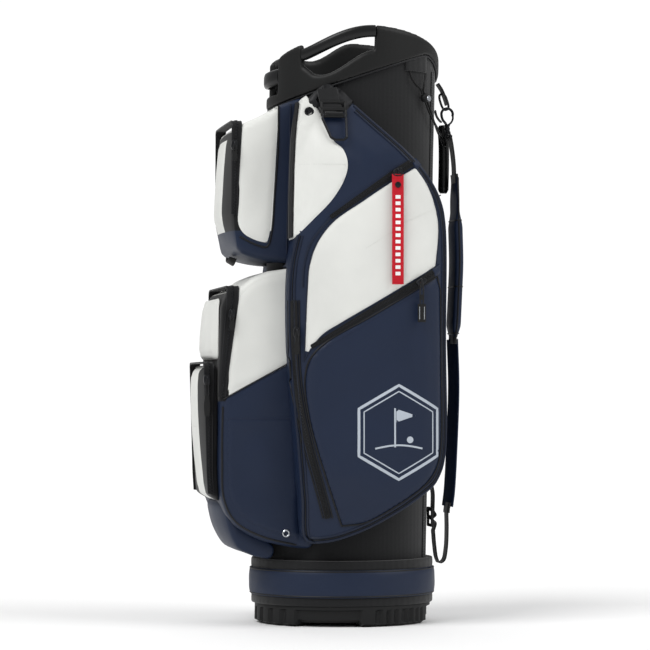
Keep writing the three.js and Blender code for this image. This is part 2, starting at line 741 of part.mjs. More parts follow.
function shoulderPad() {
  const path = curve([[0, 177.5, 682], [0, 177, 640], [0, 178, 600], [0, 179, 550],
    [0, 177, 500], [0, 174, 436]], 24);
  return skin(path.map((centre, i) => {
    const t = i / (path.length - 1);
    const swell = smooth(t / 0.15) * smooth((1 - t) / 0.1);
    const wide = STRAP_WIDTH / 2 + 6 * swell;
    const thick = 2 + 3 * swell;
    return [[-1, -0.5], [-0.8, -1], [0.8, -1], [1, -0.5], [1, 0.5], [0.8, 1], [-0.8, 1], [-1, 0.5]]
      .map(([u, v]) => vec(centre.x + wide * u, centre.y + thick * v, centre.z));
  }));
}

const lowerStrap = () => strapStrip(
  [[0, 173, 433], [0, 175, 360], [0, 172, 270], [0, 168, 200], [0, 165, 176]],
  16, STRAP_WIDTH * 0.8, 3);

const tailWeb = () => strapStrip(
  [[0, 163, 173], [0, 163.5, 140], [0, 162, 110], [0, 158, 93], [0, 151, 89.5], [0, 147, 97],
    [0, 144.5, 112], [0, 142, 140]], 24, WEB_WIDTH, 2);

function ladderLock() {
  const frame = new THREE.Shape([[-16, -15], [16, -15], [16, 15], [-16, 15]]
    .map(([x, z]) => new THREE.Vector2(x, z)));
  [-8, 5].forEach((z) => frame.holes.push(new THREE.Path(
    [[-13, z - 2.5], [-13, z + 4], [13, z + 4], [13, z - 2.5]]
      .map(([x, h]) => new THREE.Vector2(x, h)))));
  const geometry = new THREE.ExtrudeGeometry(frame, { depth: 4, bevelEnabled: false });
  geometry.applyMatrix4(new THREE.Matrix4().makeBasis(vec(1, 0, 0), vec(0, 0, 1), vec(0, -1, 0)));
  return geometry.translate(0, 139.5, 160);
}

const atStrap = (geometry) => geometry.translate(STRAP_X, -4, 0);

// ---- assembly ----
add('tube_shell', tubeShell(), 'charcoal');
add('stay_left', stay(-1), 'aluminium');
add('stay_right', stay(1), 'aluminium');
add('divider_long_left', longDivider(LONG_PLATES[0]), 'charcoal');
add('divider_long_right', longDivider(LONG_PLATES[1]), 'charcoal');
CROSS_PLATES.forEach((y, i) => add(`divider_cross_${i + 1}`, crossDivider(y), 'charcoal'));

add('base_boot', baseBoot(), 'rubber');
add('base_band_lower', bandRing(-3, 0.6, BASE_TOP + GAP, 44 - GAP), 'webbing');
add('base_band', bandRing(-1, 2, 44, 85), 'navy');
add('base_binding', bandRing(-3, 0.8, 85 + GAP, 99), 'webbing');

add('top_collar', topCollar(), 'moulded');
add('side_handle_bar', sideHandleBar(), 'moulded');
add('front_handle_bar', frontHandleBar(), 'moulded');

add('ball_pocket', ballPocket(), 'white');
add('lower_pocket', lowerPocket(), 'navy');
add('mid_zip_pocket', domePocket(MID_OUTLINE, 20), 'white');
add('low_zip_pocket', domePocket(LOW_OUTLINE, 24), 'white');
add('pocket_skirt', boxPocket(SKIRT_OUTLINE, 24, pocketLevels(78, 4)), 'navy');

add('side_pocket_right', rightPocket, 'navy');
add('side_pocket_left', mirrored(rightPocket), 'navy');

add('upper_side_zip', tapeOnSide([[92, 704], [54, 680], [3, 645], [-46, 611], [-74, 575],
  [-84, 540], [-86, 508]], 20, 12), 'zip');
add('lower_side_zip', tapeOnSide([[120, 535], [90, 516], [20, 475], [-63, 426]], 12, 12), 'zip');
const garmentZip = tapeOnSide([[-98, 488], [-95, 370], [-80, 280], [-48, 165]], 16, 8);
add('garment_zip', garmentZip, 'zip');
add('garment_zip_left', mirrored(garmentZip), 'zip');
add('ball_zip', tapeOver(BALL_HALF, [-190, 618], [-178, 757], 759, 12), 'zip');
add('mid_zip', tapeOver(LOWER_HALF, [-196, 345], [-184, 500], 510, 12), 'zip');
add('low_zip', tapeOver(DOME_HALF, [-211, 200], [-223, 394.5], 396, 10), 'zip');

SLIDERS.forEach(addSlider);
add('garment_zip_slider_left', sliderBody(SLIDERS[2][4]), 'metal', (mesh) => {
  mesh.rotation.y = Math.PI;
  mesh.position.set(-GARMENT_FACE - SLIDER_LIFT, SLIDERS[2][2], SLIDERS[2][3]);
});

add('towel_web', towelWeb(), 'webbing');
add('towel_ring', towelRing(), 'metal');
add('snap_button', new THREE.CylinderGeometry(6.5, 7, 3, 24).rotateZ(-Math.PI / 2)
  .translate(sideFace(-75, 770) + 4, -74, 770), 'metal');
add('cord_tab', cordTab(), 'webbing');
add('elastic_cord', elasticCord(), 'webbing');
add('cord_toggle', cordToggle(), 'rubber');

add('spine_grip', spineGrip(), 'rubber');
add('spine_web_top', spineWeb(true), 'webbing');
add('spine_web_bottom', spineWeb(false), 'webbing');
add('strap_anchor', atStrap(strapAnchor()), 'webbing');
add('snap_hook', atStrap(snapHook()), 'metal');
add('hook_gate', atStrap(hookGate()), 'metal');
add('strap_web_upper', atStrap(upperWeb()), 'webbing');
add('shoulder_pad', atStrap(shoulderPad()), 'navy');
add('strap_lower', atStrap(lowerStrap()), 'navy');
add('strap_tail', atStrap(tailWeb()), 'webbing');
add('ladder_lock', atStrap(ladderLock()), 'rubber');

export default bag;
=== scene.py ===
import json
from math import copysign, cos, pi, radians, sin, sqrt

import bmesh
import bpy
import numpy as np
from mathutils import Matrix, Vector, noise
from mathutils.bvhtree import BVHTree
from mathutils.geometry import delaunay_2d_cdt

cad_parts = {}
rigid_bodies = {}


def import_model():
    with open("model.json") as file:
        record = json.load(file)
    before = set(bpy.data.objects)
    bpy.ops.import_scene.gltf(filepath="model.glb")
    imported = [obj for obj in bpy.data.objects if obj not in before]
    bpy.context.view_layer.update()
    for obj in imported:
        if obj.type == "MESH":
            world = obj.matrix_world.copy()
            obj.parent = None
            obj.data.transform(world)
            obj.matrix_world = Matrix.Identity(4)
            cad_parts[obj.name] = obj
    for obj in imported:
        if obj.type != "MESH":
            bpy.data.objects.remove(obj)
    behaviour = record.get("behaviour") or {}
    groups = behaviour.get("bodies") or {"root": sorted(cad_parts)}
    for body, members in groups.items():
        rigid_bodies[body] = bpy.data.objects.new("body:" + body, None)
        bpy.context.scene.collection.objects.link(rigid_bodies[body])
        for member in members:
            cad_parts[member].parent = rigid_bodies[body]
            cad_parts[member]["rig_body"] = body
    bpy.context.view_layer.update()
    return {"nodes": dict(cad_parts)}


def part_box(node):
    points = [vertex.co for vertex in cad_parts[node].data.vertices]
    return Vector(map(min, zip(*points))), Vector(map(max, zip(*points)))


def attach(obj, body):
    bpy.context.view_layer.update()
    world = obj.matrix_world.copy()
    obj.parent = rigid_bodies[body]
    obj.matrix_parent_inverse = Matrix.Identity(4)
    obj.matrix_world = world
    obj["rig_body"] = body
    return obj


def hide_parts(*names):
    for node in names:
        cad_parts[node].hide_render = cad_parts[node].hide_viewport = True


# The looks of a golf cart bag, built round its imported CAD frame. Helpers work in millimetres and
# turn them into metres when a mesh is made. -Y is the pocket front, +Y the spine and the strap.
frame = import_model()
NODES = frame["nodes"]
MM = 0.001

# ---- driving dimensions, the frame's own ----
TUBE_A, TUBE_B, TUBE_WALL = 112, 128, 2.5
LEAN = 17 / 829                  # the tube leans back this much for each millimetre of height
BASE_TOP = 31
BAND_A, BAND_B = 126, 142
SIDE_FACE = 160                  # outer face of the side pockets
BALL_HALF, LOWER_HALF, DOME_HALF = 90, 102, 84
STRAP_X = 24
CORD_DIAMETER = 3

# ---- the camera comes first, with the cord ----
CAMERA_AZIMUTH = radians(80)
CAMERA_DISTANCE = 4.2
CAMERA_HEIGHT = 0.36
PICTURE_WIDTH = 1.001            # what the picture spans at the target, in metres
TARGET = Vector((0, -0.0264, 0.455))


def add_camera():
    data = bpy.data.cameras.new("camera")
    camera = bpy.data.objects.new("camera", data)
    bpy.context.scene.collection.objects.link(camera)
    side = Vector((sin(CAMERA_AZIMUTH), -cos(CAMERA_AZIMUTH), 0)) * CAMERA_DISTANCE
    camera.location = Vector((TARGET.x + side.x, TARGET.y + side.y, CAMERA_HEIGHT))
    back = camera.location - TARGET
    camera.rotation_mode = "QUATERNION"
    camera.rotation_quaternion = (-back).to_track_quat("-Z", "Y")
    data.sensor_width = 36
    data.lens = 36 * back.length / PICTURE_WIDTH
    data.clip_end = 200
    bpy.context.scene.camera = camera


# ---- small helpers ----
def smooth(t):
    s = min(1.0, max(0.0, t))
    return s * s * (3 - 2 * s)


def squared(wave, power):
    """A sine or cosine pushed out, so that a circle made with it turns into a squarer oval."""
    return copysign(abs(wave) ** power, wave)


def steps(start, end, count):
    return [start + (end - start) * i / count for i in range(count + 1)]


def turns(count):
    """Equal angles once round, in radians."""
    return steps(0, 2 * pi, count)[:-1]


def spline(points, spacing, closed=False):
    """A centripetal Catmull-Rom line through a few points, sampled evenly."""
    pts = [Vector(tuple(p) + (0,) * (3 - len(p))) for p in points]
    count = len(pts)
    dense = []
    for i in range(count if closed else count - 1):
        p1, p2 = pts[i], pts[(i + 1) % count]
        p0 = pts[i - 1] if closed or i > 0 else p1 * 2 - p2
        p3 = pts[(i + 2) % count] if closed or i + 2 < count else p2 * 2 - p1
        d1 = max((p1 - p0).length, 1e-4) ** 0.5
        d2 = max((p2 - p1).length, 1e-4) ** 0.5
        d3 = max((p3 - p2).length, 1e-4) ** 0.5
        m1 = (p1 - p0) / d1 - (p2 - p0) / (d1 + d2) + (p2 - p1) / d2
        m2 = (p2 - p1) / d2 - (p3 - p1) / (d2 + d3) + (p3 - p2) / d3
        m1, m2 = m1 * d2, m2 * d2
        for k in range(16):
            t = k / 16
            dense.append(
                p1 * (2 * t ** 3 - 3 * t * t + 1) + m1 * (t ** 3 - 2 * t * t + t)
                + p2 * (3 * t * t - 2 * t ** 3) + m2 * (t ** 3 - t * t))
    dense.append(pts[0].copy() if closed else pts[-1].copy())
    along = [0.0]
    for a, b in zip(dense, dense[1:]):
        along.append(along[-1] + (b - a).length)
    number = max(2, round(along[-1] / spacing))
    out = []
    k = 0
    for i in range(number if closed else number + 1):
        want = along[-1] * i / number
        while k < len(dense) - 2 and along[k + 1] < want:
            k += 1
        t = (want - along[k]) / max(along[k + 1] - along[k], 1e-9)
        out.append(dense[k].lerp(dense[k + 1], min(1.0, t)))
    return out


def outline(points, corners, spacing=3.0):
    """A closed outline: smooth between its corners, which are given by their places in points."""
    if not corners:
        return spline(points, spacing, closed=True)
    out = []
    order = sorted(corners)
    for start, end in zip(order, order[1:] + [order[0] + len(points)]):
        span = [points[i % len(points)] for i in range(start, end + 1)]
        out += spline(span, spacing)[:-1]
    return out


def straight_sides(corners, parts):
    """A closed path with straight sides, each cut into equal parts."""
    corners = [Vector(p) for p in corners]
    return [a.lerp(b, t) for a, b in zip(corners, corners[1:] + corners[:1])
            for t in steps(0, 1, parts)[:-1]]


def on_oval(a, b, degrees, z):
    angle = radians(degrees)
    return Vector((a * cos(angle), b * sin(angle) + LEAN * z, z))


def side_face(y, z):
    """How far a side pocket's outer face stands out, as in the frame."""
    edge = abs((y - 15) / 118) ** 6
    top = smooth((z - 690) / 125)
    foot = smooth((250 - z) / 120)
    return SIDE_FACE - 26 * edge - 36 * top - 14 * foot


# ---- materials ----
WAVE_LENGTH = 0.314              # one wave of Blender's wave texture at scale 1, in metres


def linear(code):
    values = [int(code[i:i + 2], 16) / 255 for i in (0, 2, 4)]
    return [v / 12.92 if v <= 0.04045 else ((v + 0.055) / 1.055) ** 2.4 for v in values] + [1.0]


class Surface:
    """A node material being made: a Principled shader with colour variation and layers of bump."""

    def __init__(self, name, slot, colour, roughness, metallic=0.0):
        self.material = bpy.data.materials.new(name)
        self.material.use_nodes = True
        self.slot = slot
        self.nodes = self.material.node_tree.nodes
        self.links = self.material.node_tree.links
        self.shader = self.nodes["Principled BSDF"]
        self.shader.inputs["Roughness"].default_value = roughness
        self.shader.inputs["Metallic"].default_value = metallic
        self.material.diffuse_color = linear(colour)
        self.colour = linear(colour)
        self.coordinates = self.nodes.new("ShaderNodeTexCoord").outputs["Object"]
        self.normal = None

    def constant(self, **values):
        for name, value in values.items():
            label = name.replace("_", " ").title().replace("Ior", "IOR")
            self.shader.inputs[label].default_value = value
        return self

    def texture(self, kind, scale, **inputs):
        node = self.nodes.new(kind)
        self.links.new(self.coordinates, node.inputs["Vector"])
        node.inputs["Scale"].default_value = scale
        for name, value in inputs.items():
            node.inputs[name.title()].default_value = value
        return node

    def vary(self, scale, dark, light):
        """The colour drifts between a darker and a lighter tone of itself."""
        mottle = self.texture("ShaderNodeTexNoise", scale, detail=4)
        ramp = self.nodes.new("ShaderNodeValToRGB")
        ramp.color_ramp.elements[0].position = 0.3
        ramp.color_ramp.elements[1].position = 0.7
        for element, gain in zip(ramp.color_ramp.elements, (dark, light)):
            element.color = [min(1.0, c * gain) for c in self.colour[:3]] + [1.0]
        self.links.new(mottle.outputs[0], ramp.inputs[0])
        self.links.new(ramp.outputs[0], self.shader.inputs["Base Color"])
        return self

    def rough(self, scale, low, high):
        """The roughness drifts between two values."""
        worn = self.texture("ShaderNodeTexNoise", scale, detail=3)
        spread = self.nodes.new("ShaderNodeMapRange")
        spread.inputs["To Min"].default_value = low
        spread.inputs["To Max"].default_value = high
        self.links.new(worn.outputs[0], spread.inputs["Value"])
        self.links.new(spread.outputs[0], self.shader.inputs["Roughness"])
        return self

    def bump(self, output, strength, depth):
        node = self.nodes.new("ShaderNodeBump")
        node.inputs["Strength"].default_value = strength
        node.inputs["Distance"].default_value = depth * MM
        self.links.new(output, node.inputs["Height"])
        if self.normal:
            self.links.new(self.normal, node.inputs["Normal"])
        self.normal = node.outputs[0]
        self.links.new(self.normal, self.shader.inputs["Normal"])
        return self

    def grain(self, scale, strength, depth):
        cells = self.texture("ShaderNodeTexVoronoi", scale)
        return self.bump(cells.outputs["Distance"], strength, depth)

    def speckle(self, scale, strength, depth):
        spots = self.texture("ShaderNodeTexNoise", scale, detail=2)
        return self.bump(spots.outputs[0], strength, depth)

    def weave(self, pitch, strength, depth):
        """Crossing ribs. The pitch is in millimetres, and ribs lie 2 pi pitches apart."""
        total = None
        for direction in ("X", "Z", "Y"):
            ribs = self.texture("ShaderNodeTexWave", WAVE_LENGTH / (2 * pi * pitch * MM))
            ribs.bands_direction = direction
            if total is None:
                total = ribs.outputs["Fac"]
                continue
            node = self.nodes.new("ShaderNodeMath")
            node.operation = "MULTIPLY" if direction == "Z" else "ADD"
            self.links.new(total, node.inputs[0])
            self.links.new(ribs.outputs["Fac"], node.inputs[1])
            total = node.outputs[0]
        return self.bump(total, strength, depth)


def leatherette(name, slot, colour, low, high):
    made = Surface(name, slot, colour, low).vary(9, 0.93, 1.07).rough(22, low, high)
    made.constant(specular_ior_level=0.3)
    return made.speckle(60, 0.08, 1.2).grain(1100, 0.35, 0.16).speckle(2600, 0.2, 0.05)


def woven(name, slot, colour, roughness, pitch, depth, sheen=0.25):
    made = Surface(name, slot, colour, roughness).vary(14, 0.9, 1.1)
    made.constant(sheen_weight=sheen, sheen_roughness=0.5, specular_ior_level=0.25)
    return made.weave(pitch, 0.5, depth).speckle(900, 0.15, 0.1)


def moulded(name, slot, colour, low, high, grain=1500):
    made = Surface(name, slot, colour, low).vary(7, 0.93, 1.08).rough(30, low, high)
    made.constant(specular_ior_level=0.3)
    return made.speckle(grain, 0.22, 0.06)


def metal(name, slot, colour, low, high, metallic=1.0):
    made = Surface(name, slot, colour, low, metallic).vary(40, 0.9, 1.1).rough(160, low, high)
    return made.speckle(2200, 0.08, 0.03)


def make_finishes():
    return {
        "navy": leatherette("navy_leatherette", "navy_leatherette", "0f1d35", 0.44, 0.56),
        "piping": leatherette("piping_navy", "navy_leatherette", "0d182c", 0.40, 0.5),
        "edge": leatherette("edge_black", "charcoal_fabric", "0c0d11", 0.42, 0.52),
        "white": leatherette("white_leatherette", "white_leatherette", "d8d9d5", 0.42, 0.55),
        "charcoal": woven("charcoal_fabric", "charcoal_fabric", "0c0d0f", 0.82, 1.1, 0.16),
        "webbing": woven("black_webbing", "black_webbing", "0b0c0e", 0.78, 1.6, 0.35),
        "cord": woven("elastic_cover", "black_webbing", "040405", 0.38, 0.6, 0.08, 0.0),
        "tape": woven("zip_tape", "zip_tape", "0a0b0d", 0.72, 0.8, 0.12, 0.1),
        "ribbon": woven("red_ribbon", "red_ribbon", "b50b20", 0.6, 0.7, 0.1, 0.05),
        "divider": woven("divider_fabric", "divider_fabric", "1b1c1f", 0.9, 1.4, 0.3, 0.4),
        "collar": moulded("collar_plastic", "collar_plastic", "070808", 0.44, 0.54),
        "handle": moulded("handle_plastic", "handle_plastic", "0f1011", 0.24, 0.34, 2600),
        "rubber": moulded("base_rubber", "base_rubber", "0b0c0d", 0.5, 0.62, 800),
        "grip": moulded("grip_rubber", "grip_rubber", "101112", 0.2, 0.3, 2600),
        "metal": metal("black_metal", "black_metal", "26272a", 0.28, 0.4, 0.8),
        "silver": metal("bright_metal", "stay_aluminium", "b9bdc2", 0.22, 0.36),
        "aluminium": metal("stay_aluminium", "stay_aluminium", "b4b8bd", 0.3, 0.45),
        "print": moulded("silver_print", "stay_aluminium", "aeb6c0", 0.42, 0.52, 3000),
        "thread": woven("navy_thread", "navy_leatherette", "18203a", 0.7, 0.5, 0.1),
        "white_thread": woven("white_thread", "white_leatherette", "cfd0cd", 0.7, 0.5, 0.1),
        "mark": woven("white_mark", "white_leatherette", "e9e9e9", 0.6, 0.5, 0.05),
    }


FINISH = make_finishes()


# ---- mesh helpers ----
def piece(name, points, faces, finish, body="root", sharp=42, replaces=()):
    """A mesh piece from points in millimetres, riding on its body."""
    mesh = bpy.data.meshes.new(name)
    mesh.from_pydata([Vector(p) * MM for p in points], [], faces)
    return dress(name, mesh, finish, body, sharp, replaces)


def dress(name, mesh, finish, body, sharp, replaces):
    """Smooths a mesh, gives it its material and makes it a piece that rides on its body."""
    work = bmesh.new()
    work.from_mesh(mesh)
    bmesh.ops.recalc_face_normals(work, faces=work.faces)
    for face in work.faces:
        face.smooth = True
    work.to_mesh(mesh)
    work.free()
    mesh.set_sharp_from_angle(angle=radians(sharp))
    mesh.materials.clear()
    mesh.materials.append(FINISH[finish].material)
    made = bpy.data.objects.new(name, mesh)
    bpy.context.scene.collection.objects.link(made)
    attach(made, body)
    if replaces:
        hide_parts(*([replaces] if isinstance(replaces, str) else replaces))
    return made


def rings_to_mesh(rings, loops=False):
    """Joins rings of equally many points; the two ends are capped unless the last meets the first."""
    size = len(rings[0])
    points = [p for ring in rings for p in ring]
    faces = []
    for r in range(len(rings) if loops else len(rings) - 1):
        low, high = r * size, (r + 1) % len(rings) * size
        for i in range(size):
            j = (i + 1) % size
            faces.append((low + i, low + j, high + j, high + i))
    if not loops:
        faces.append(tuple(range(size - 1, -1, -1)))
        faces.append(tuple(range((len(rings) - 1) * size, len(rings) * size)))
    return points, faces


def headings(path, closed=False):
    count = len(path)
    out = []
    for i in range(count):
        before = path[i - 1] if closed or i > 0 else path[i]
        after = path[(i + 1) % count] if closed or i + 1 < count else path[i]
        out.append((after - before).normalized())
    return out


def tube(name, path, radius, finish, body="root", sides=10, closed=False, replaces=()):
    """A round bar along a path; radius is a number or a function of the share of the way."""
    path = [Vector(p) for p in path]
    along = headings(path, closed)
    side = along[0].orthogonal().normalized()
    rings = []
    for i, (p, d) in enumerate(zip(path, along)):
        side = (side - d * side.dot(d)).normalized()
        other = d.cross(side)
        r = radius(i / (len(path) - 1)) if callable(radius) else radius
        rings.append([p + side * r * cos(a) + other * r * sin(a) for a in turns(sides)])
    if closed:
        shift = min(range(sides), key=lambda k: (rings[0][k] - rings[-1][0]).length)
        for i, (p, d, ring) in enumerate(zip(path, along, rings)):
            angle = 2 * pi * shift * i / sides / len(rings)
            rings[i] = [p + (q - p) * cos(angle) + d.cross(q - p) * sin(angle) for q in ring]
    return piece(name, *rings_to_mesh(rings, closed), finish, body, replaces=replaces)


SOFT_EDGE = [(-1, -0.5), (-0.94, -0.9), (-0.85, -1), (0.85, -1), (0.94, -0.9), (1, -0.5),
             (1, 0.5), (0.94, 0.9), (0.85, 1), (0, 1.04), (-0.85, 1), (-0.94, 0.9), (-1, 0.5)]


def strap(name, path, width, thick, across, finish, body="root", replaces=()):
    """A flat band with soft edges. Width and thickness are numbers or functions of the way."""
    path = [Vector(p) for p in path]
    rings = []
    for i, (p, d) in enumerate(zip(path, headings(path))):
        t = i / (len(path) - 1)
        side = Vector(across)
        side = (side - d * side.dot(d)).normalized()
        out = d.cross(side)
        w = (width(t) if callable(width) else width) / 2
        h = (thick(t) if callable(thick) else thick) / 2
        rings.append([p + side * w * u + out * h * v for u, v in SOFT_EDGE])
    return piece(name, *rings_to_mesh(rings), finish, body, sharp=50, replaces=replaces)


def copy_of(node):
    """The node's mesh, welded, with its triangles joined into quads where they are flat."""
    work = bmesh.new()
    work.from_mesh(NODES[node].data)
    bmesh.ops.remove_doubles(work, verts=work.verts, dist=2e-5)
    bmesh.ops.join_triangles(work, faces=work.faces, angle_face_threshold=0.5,
                             angle_shape_threshold=1.2)
    mesh = bpy.data.meshes.new(node + "_copy")
    work.to_mesh(mesh)
    work.free()
    return mesh


def with_modifiers(mesh, *settings):
    """The mesh as it comes out of a stack of modifiers, each given as (type, {setting: value})."""
    holder = bpy.data.objects.new("holder", mesh)
    bpy.context.scene.collection.objects.link(holder)
    for kind, values in settings:
        modifier = holder.modifiers.new(kind, kind)
        for name, value in values.items():
            setattr(modifier, name, value)
    graph = bpy.context.evaluated_depsgraph_get()
    made = bpy.data.meshes.new_from_object(holder.evaluated_get(graph))
    bpy.data.objects.remove(holder)
    return made


def softened(name, node, finish, voxel, rounds, shape=None):
    """A soft or moulded form with rounded edges in the space of one CAD node."""
    mesh = with_modifiers(
        copy_of(node),
        ("REMESH", {"mode": "VOXEL", "voxel_size": voxel * MM}),
        ("SMOOTH", {"factor": 0.5, "iterations": rounds}))
    if shape:
        for vertex in mesh.vertices:
            vertex.co = shape(vertex.co / MM) * MM
    return dress(name, mesh, finish, NODES[node]["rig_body"], 180, node)


def painted(body, finish, cuts, chosen):
    """Gives part of a body another finish, after cutting its faces along planes for clean edges."""
    work = bmesh.new()
    work.from_mesh(body.data)
    for point, normal in cuts:
        bmesh.ops.bisect_plane(work, geom=work.verts[:] + work.edges[:] + work.faces[:],
                               plane_co=Vector(point) * MM, plane_no=Vector(normal))
    index = len(body.data.materials)
    for face in work.faces:
        if chosen(face.calc_center_median() / MM):
            face.material_index = index
    work.to_mesh(body.data)
    work.free()
    body.data.materials.append(FINISH[finish].material)


def bevelled(name, node, finish, width=0.5):
    """A hard part in the space of one CAD node, with small rounded edges."""
    mesh = with_modifiers(
        copy_of(node),
        ("BEVEL", {"width": width * MM, "segments": 2, "limit_method": "ANGLE",
                   "angle_limit": radians(35), "harden_normals": False}))
    return dress(name, mesh, finish, NODES[node]["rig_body"], 35, node)


def rounded(name, node, finish):
    """A wire or bar in the space of one CAD node, its facets turned into a round surface."""
    mesh = with_modifiers(copy_of(node), ("SUBSURF", {"levels": 1}))
    return dress(name, mesh, finish, NODES[node]["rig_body"], 60, node)


def keep(node, finish):
    """A CAD node whose shape is right: it stays, with a better material."""
    made = NODES[node]
    made.data.materials.clear()
    made.data.materials.append(FINISH[finish].material)


# ---- laying things on a surface: place(u, v, h) is the point h above it ----
def laid_on(target, outward):
    """u, v are Y, Z on a side and X, Z on the front; the depth is the surface's own."""
    tree = BVHTree.FromObject(target, bpy.context.evaluated_depsgraph_get())
    out = Vector(outward)
    on_side = abs(out.x) > 0.5
    usual_depth = 0.86 if on_side else 0.82

    def place(u, v, h):
        start = Vector((out.x, u * MM, v * MM)) if on_side else Vector((u * MM, out.y, v * MM))
        hit = tree.ray_cast(start, -out)[0]
        if hit is None:
            near = tree.find_nearest(start - out * usual_depth)[0]
            hit = start.copy()
            hit[0 if on_side else 1] = near.x if on_side else near.y
        return hit / MM + out * h
    return place


def on_face(side, face):
    """The same for a surface given as a formula for how far out it is at Y, Z."""
    return lambda u, v, h: Vector((side * (face(u, v) + h), u, v))


def inside(point, loop):
    found = False
    x, y = point
    for a, b in zip(loop, loop[1:] + loop[:1]):
        if (a.y > y) != (b.y > y) and x < (b.x - a.x) * (y - a.y) / (b.y - a.y) + a.x:
            found = not found
    return found


def grid_in(loop, step):
    """Points inside an outline, on a triangular grid."""
    low = [min(p[k] for p in loop) for k in (0, 1)]
    high = [max(p[k] for p in loop) for k in (0, 1)]
    edge = np.array([p[:2] for p in loop])
    out = []
    row = 0
    v = low[1] + step / 2
    while v < high[1]:
        u = low[0] + (step / 2 if row % 2 else step)
        while u < high[0]:
            if inside((u, v), loop) and np.hypot(*(edge - (u, v)).T).min() > 0.6 * step:
                out.append(Vector((u, v)))
            u += step
        v += step * 0.87
        row += 1
    return out


def reach(points, loop):
    """How far each point is from the outline."""
    a = np.array([p[:2] for p in loop])
    d = np.roll(a, -1, axis=0) - a
    size = np.maximum((d * d).sum(1), 1e-9)
    out = []
    for p in points:
        w = np.array(p[:2]) - a
        t = np.clip((w * d).sum(1) / size, 0, 1)
        out.append(float(np.hypot(*(w - d * t[:, None]).T).min()))
    return out


def pillow(name, loop, place, finish, height, roll, depth=3.0, step=5.0, ripple=0.0):
    """A sewn panel: it rises from its outline in a soft roll, and is closed behind."""
    flat = [Vector(p[:2]) for p in loop]
    grid = grid_in(loop, step)
    edges = [(i, (i + 1) % len(flat)) for i in range(len(flat))]
    made = delaunay_2d_cdt(flat + grid, edges, [], 1, 1e-3)
    verts, faces = made[0], made[2]
    points = []
    for p, d in zip(verts, reach(verts, loop)):
        t = min(1.0, d / roll)
        wave = ripple * noise.noise(Vector((p.x, p.y, 3.0)) / 38) * smooth(d / 25)
        points.append(place(p.x, p.y, height * sqrt(max(0.0, 1 - (1 - t) ** 2)) + wave))
    sides = dict.fromkeys(pair for face in faces for pair in zip(face, face[1:] + face[:1]))
    rim = {a: b for a, b in sides if (b, a) not in sides}
    back = {}
    for a in rim:
        back[a] = len(points)
        points.append(place(verts[a].x, verts[a].y, -depth))
    walls = [(b, a, back[a], back[b]) for a, b in rim.items()]
    start = next(iter(rim))
    order = [start]
    while rim.get(order[-1], start) != start and len(order) <= len(rim):
        order.append(rim[order[-1]])
    cap = [tuple(back[i] for i in reversed(order))]
    return piece(name, points, list(faces) + walls + cap, finish, sharp=60)


def flat_path(points):
    return [Vector((p[0], p[1], 0)) for p in points]


def tape(name, path, place, widths, heights, shares, finish, closed=False, replaces=()):
    """A flat band laid along a path on a surface, from its first width to its last."""
    path = flat_path(path)
    low, high = heights
    rings = []
    for i, (p, d) in enumerate(zip(path, headings(path, closed))):
        wide = widths[0] + (widths[1] - widths[0]) * i / (len(path) - 1)
        side = Vector((-d.y, d.x)) * wide / 2
        spots = [(p.x + side.x * s, p.y + side.y * s) for s in shares]
        rings.append([place(u, v, high) for u, v in spots]
                     + [place(u, v, low) for u, v in reversed(spots)])
    return piece(name, *rings_to_mesh(rings, closed), finish, sharp=50, replaces=replaces)


SQUARE = ((-1, -1), (1, -1), (1, 1), (-1, 1))


def blocks(name, groups, finish, body="root"):
    """Many small closed blocks in one piece, each given as rings of corners."""
    points, faces = [], []
    for rings in groups:
        spots, sides = rings_to_mesh(rings)
        faces += [tuple(len(points) + i for i in side) for side in sides]
        points += spots
    return piece(name, points, faces, finish, body, sharp=80)


def studs(name, path, place, size, pitch, lift, finish, stagger=0.0, body="root"):
    """Small blocks along a path: zip teeth, or stitches. Size is (along, across, high)."""
    path = spline(flat_path(path), pitch)
    groups = []
    for i, (p, d) in enumerate(zip(path, headings(path))):
        side = Vector((-d.y, d.x, 0))
        centre = p + side * (stagger if i % 2 else -stagger)
        rings = []
        for h, share in ((lift, 1.0), (lift + size[2] * 0.7, 1.0), (lift + size[2], 0.6)):
            spots = [centre + d * a * size[0] / 2 * share + side * b * size[1] / 2 * share
                     for a, b in SQUARE]
            rings.append([place(q.x, q.y, h) for q in spots])
        groups.append(rings)
    return blocks(name, groups, finish, body)


def piping(name, path, place, radius, lift, finish="piping", closed=False):
    line = [place(p[0], p[1], lift) for p in path]
    return tube(name, line, radius, finish, sides=8, closed=closed)


def lathe(name, profile, origin, axis, finish, body="root", replaces=()):
    """A turned part: profile is (radius, distance along the axis) pairs from axis to axis."""
    axis = Vector(axis).normalized()
    u = axis.orthogonal().normalized()
    v = axis.cross(u)
    rings = []
    for r, h in profile:
        centre = Vector(origin) + axis * h
        rings.append([centre + u * r * cos(a) + v * r * sin(a) for a in turns(28)])
    return piece(name, *rings_to_mesh(rings), finish, body, sharp=35, replaces=replaces)


def inset(loop, distance):
    """The outline moved inwards."""
    path = flat_path(loop)
    area = sum(a.x * b.y - b.x * a.y for a, b in zip(path, path[1:] + path[:1]))
    turn = 1 if area > 0 else -1
    return [p + Vector((-d.y, d.x, 0)) * distance * turn
            for p, d in zip(path, headings(path, closed=True))]


def both_sides(name):
    return ((1, name + "_right"), (-1, name + "_left"))


